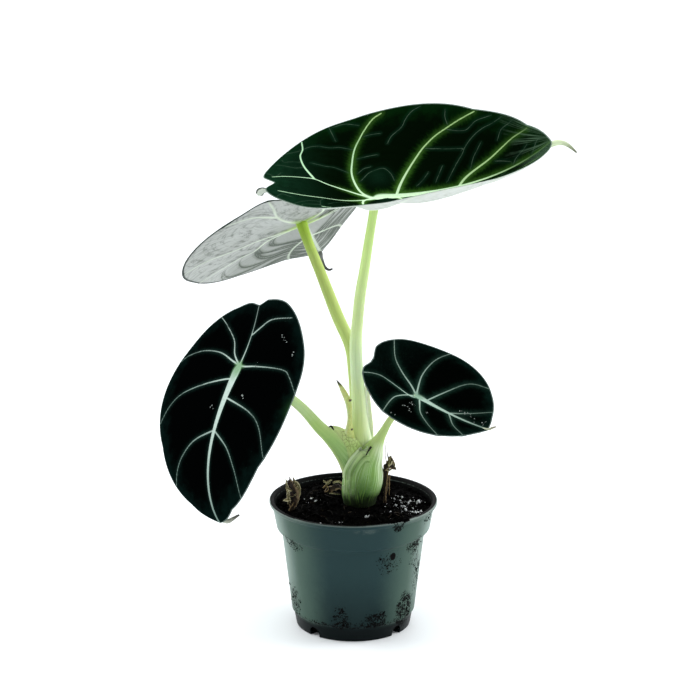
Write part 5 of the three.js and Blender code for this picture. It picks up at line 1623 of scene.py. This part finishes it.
# dark is the tone of the painted shade, and the last value how strongly that shade lies on the shaded half.
UNDER_TINTS = {
    "a": {
        "pale": (0.6, 0.63, 0.59), "dark": (0.42, 0.46, 0.4), "hub": (0.5, 0.62, 0.3),
        "vein": (0.7, 0.78, 0.6), "margin": (0.45, 0.5, 0.44), "painted_shade_weight": 0.1,
    },
    "b": {
        "pale": (0.42, 0.435, 0.42), "dark": (0.074, 0.094, 0.066), "hub": (0.32, 0.48, 0.08),
        "vein": (0.66, 0.75, 0.6), "margin": (0.02, 0.03, 0.025), "painted_shade_weight": 1,
    },
    "c": {
        "pale": (0.36, 0.38, 0.37), "dark": (0.16, 0.18, 0.17), "hub": (0.34, 0.48, 0.14),
        "vein": (0.46, 0.54, 0.42), "margin": (0.02, 0.04, 0.03), "painted_shade_weight": 0.5,
    },
}
UNDER_TINTS["d"] = UNDER_TINTS["c"]
# Each drip tip's colour at its root and at its end.
TIP_TINTS = {
    "a": ((0.6, 0.7, 0.45), (0.1, 0.11, 0.06)), "b": ((0.05, 0.06, 0.045), (0.012, 0.014, 0.012)),
    "c": ((0.4, 0.42, 0.34), (0.05, 0.045, 0.035)), "d": ((0.45, 0.5, 0.36), (0.2, 0.18, 0.12)),
}
BLADE_STEP = {"a": 0.52, "b": 0.6, "c": 0.48, "d": 0.4}
TIP_ROOT = (4, 0.3, -0.5)  # back from the front end, radius, and height over the midrib

dust = mineral_dust()
for name, leaf in LEAVES.items():
    blade = Blade(leaf)
    body, flat = blade_shell(blade, BLADE_STEP[name])
    back, radius, lift = TIP_ROOT
    root = blade.at(np.array([(blade.front - back, 0)]))[0] + blade.up * lift
    tip = stalk([(*root, radius), *leaf["tip"]], 48, 16)
    tip["finish"] = 2
    shells = [body, tip]
    finishes = [
        velvet(name, **TOP_TINTS[name]),
        satin_underside(name, **UNDER_TINTS[name]),
        tip_flesh(name, *TIP_TINTS[name]),
    ]
    if "dust" in leaf:
        spots = np.repeat(np.array(leaf["dust"], float), 3, axis=0)
        _, seats = nearest(spots + draw.normal(0, 0.6, spots.shape), flat)
        specks = lumps(body["points"][seats], draw.uniform(0.1, 0.3, len(seats)))
        specks["finish"] = 3
        shells.append(specks)
        finishes.append(dust)
    if "curl" in leaf:
        curl = ribbon(leaf["curl"], 40, 0.3, 0.5)
        curl["finish"] = len(finishes)
        shells.append(curl)
        finishes.append(curled_edge())
    make_piece("leaf_blade_" + name, shells, finishes, "blade_" + name)

# ---- Floor, light and camera ----
# A plain white table under soft light from a bright room, seen from a little above the leaves.

bpy.ops.mesh.primitive_plane_add(size=16)
floor = bpy.context.object
floor.name = "floor"
white = Finish("white table", {"Base Color": (0.90, 0.93, 0.945), "Roughness": 0.6})
floor.data.materials.append(white.material)

FRONT_LIGHT = 0.7
BACK_LIGHT = 1.45
world = bpy.data.worlds.new("room")
world.use_nodes = True
room = world.node_tree
direction = room.nodes.new("ShaderNodeTexCoord")
parts = room.nodes.new("ShaderNodeSeparateXYZ")
ramp = room.nodes.new("ShaderNodeMapRange")
ramp.interpolation_type = "SMOOTHSTEP"
ramp_ends = {"From Min": -0.9, "From Max": 0.5, "To Min": FRONT_LIGHT, "To Max": BACK_LIGHT}
for name, value in ramp_ends.items():
    ramp.inputs[name].default_value = value
room.links.new(direction.outputs["Generated"], parts.inputs[0])
room.links.new(parts.outputs["Y"], ramp.inputs["Value"])
room.links.new(ramp.outputs[0], room.nodes["Background"].inputs["Strength"])
room.nodes["Background"].inputs["Color"].default_value = (0.97, 0.985, 1, 1)
bpy.context.scene.world = world


def soft_light(name, place, target, size, power):
    light = bpy.data.lights.new(name, "AREA")
    light.shape = "DISK"
    light.size = size
    light.energy = power
    lamp = bpy.data.objects.new(name, light)
    lamp.location = place
    lamp.rotation_euler = (Vector(target) - Vector(place)).to_track_quat("-Z", "Y").to_euler()
    bpy.context.scene.collection.objects.link(lamp)


soft_light("left light", (-0.9, 0.1, 0.6), (0, 0, 0.08), 0.7, 7)
soft_light("right light", (0.9, 0.1, 0.6), (0, 0, 0.08), 0.7, 7)

CAMERA_TARGET = Vector((-1.17, 0, 101.43)) * MM
CAMERA_PITCH = math.radians(15.66)
CAMERA_AWAY = 0.9
camera = bpy.data.objects.new("camera", bpy.data.cameras.new("camera"))
camera.data.lens = 132.0
camera.data.sensor_width = 36
camera.location = CAMERA_TARGET + CAMERA_AWAY * Vector((0, -math.cos(CAMERA_PITCH), math.sin(CAMERA_PITCH)))
camera.rotation_euler = (math.pi / 2 - CAMERA_PITCH, 0, 0)
bpy.context.scene.collection.objects.link(camera)
bpy.context.scene.camera = camera
bpy.context.scene.view_settings.view_transform = "Standard"
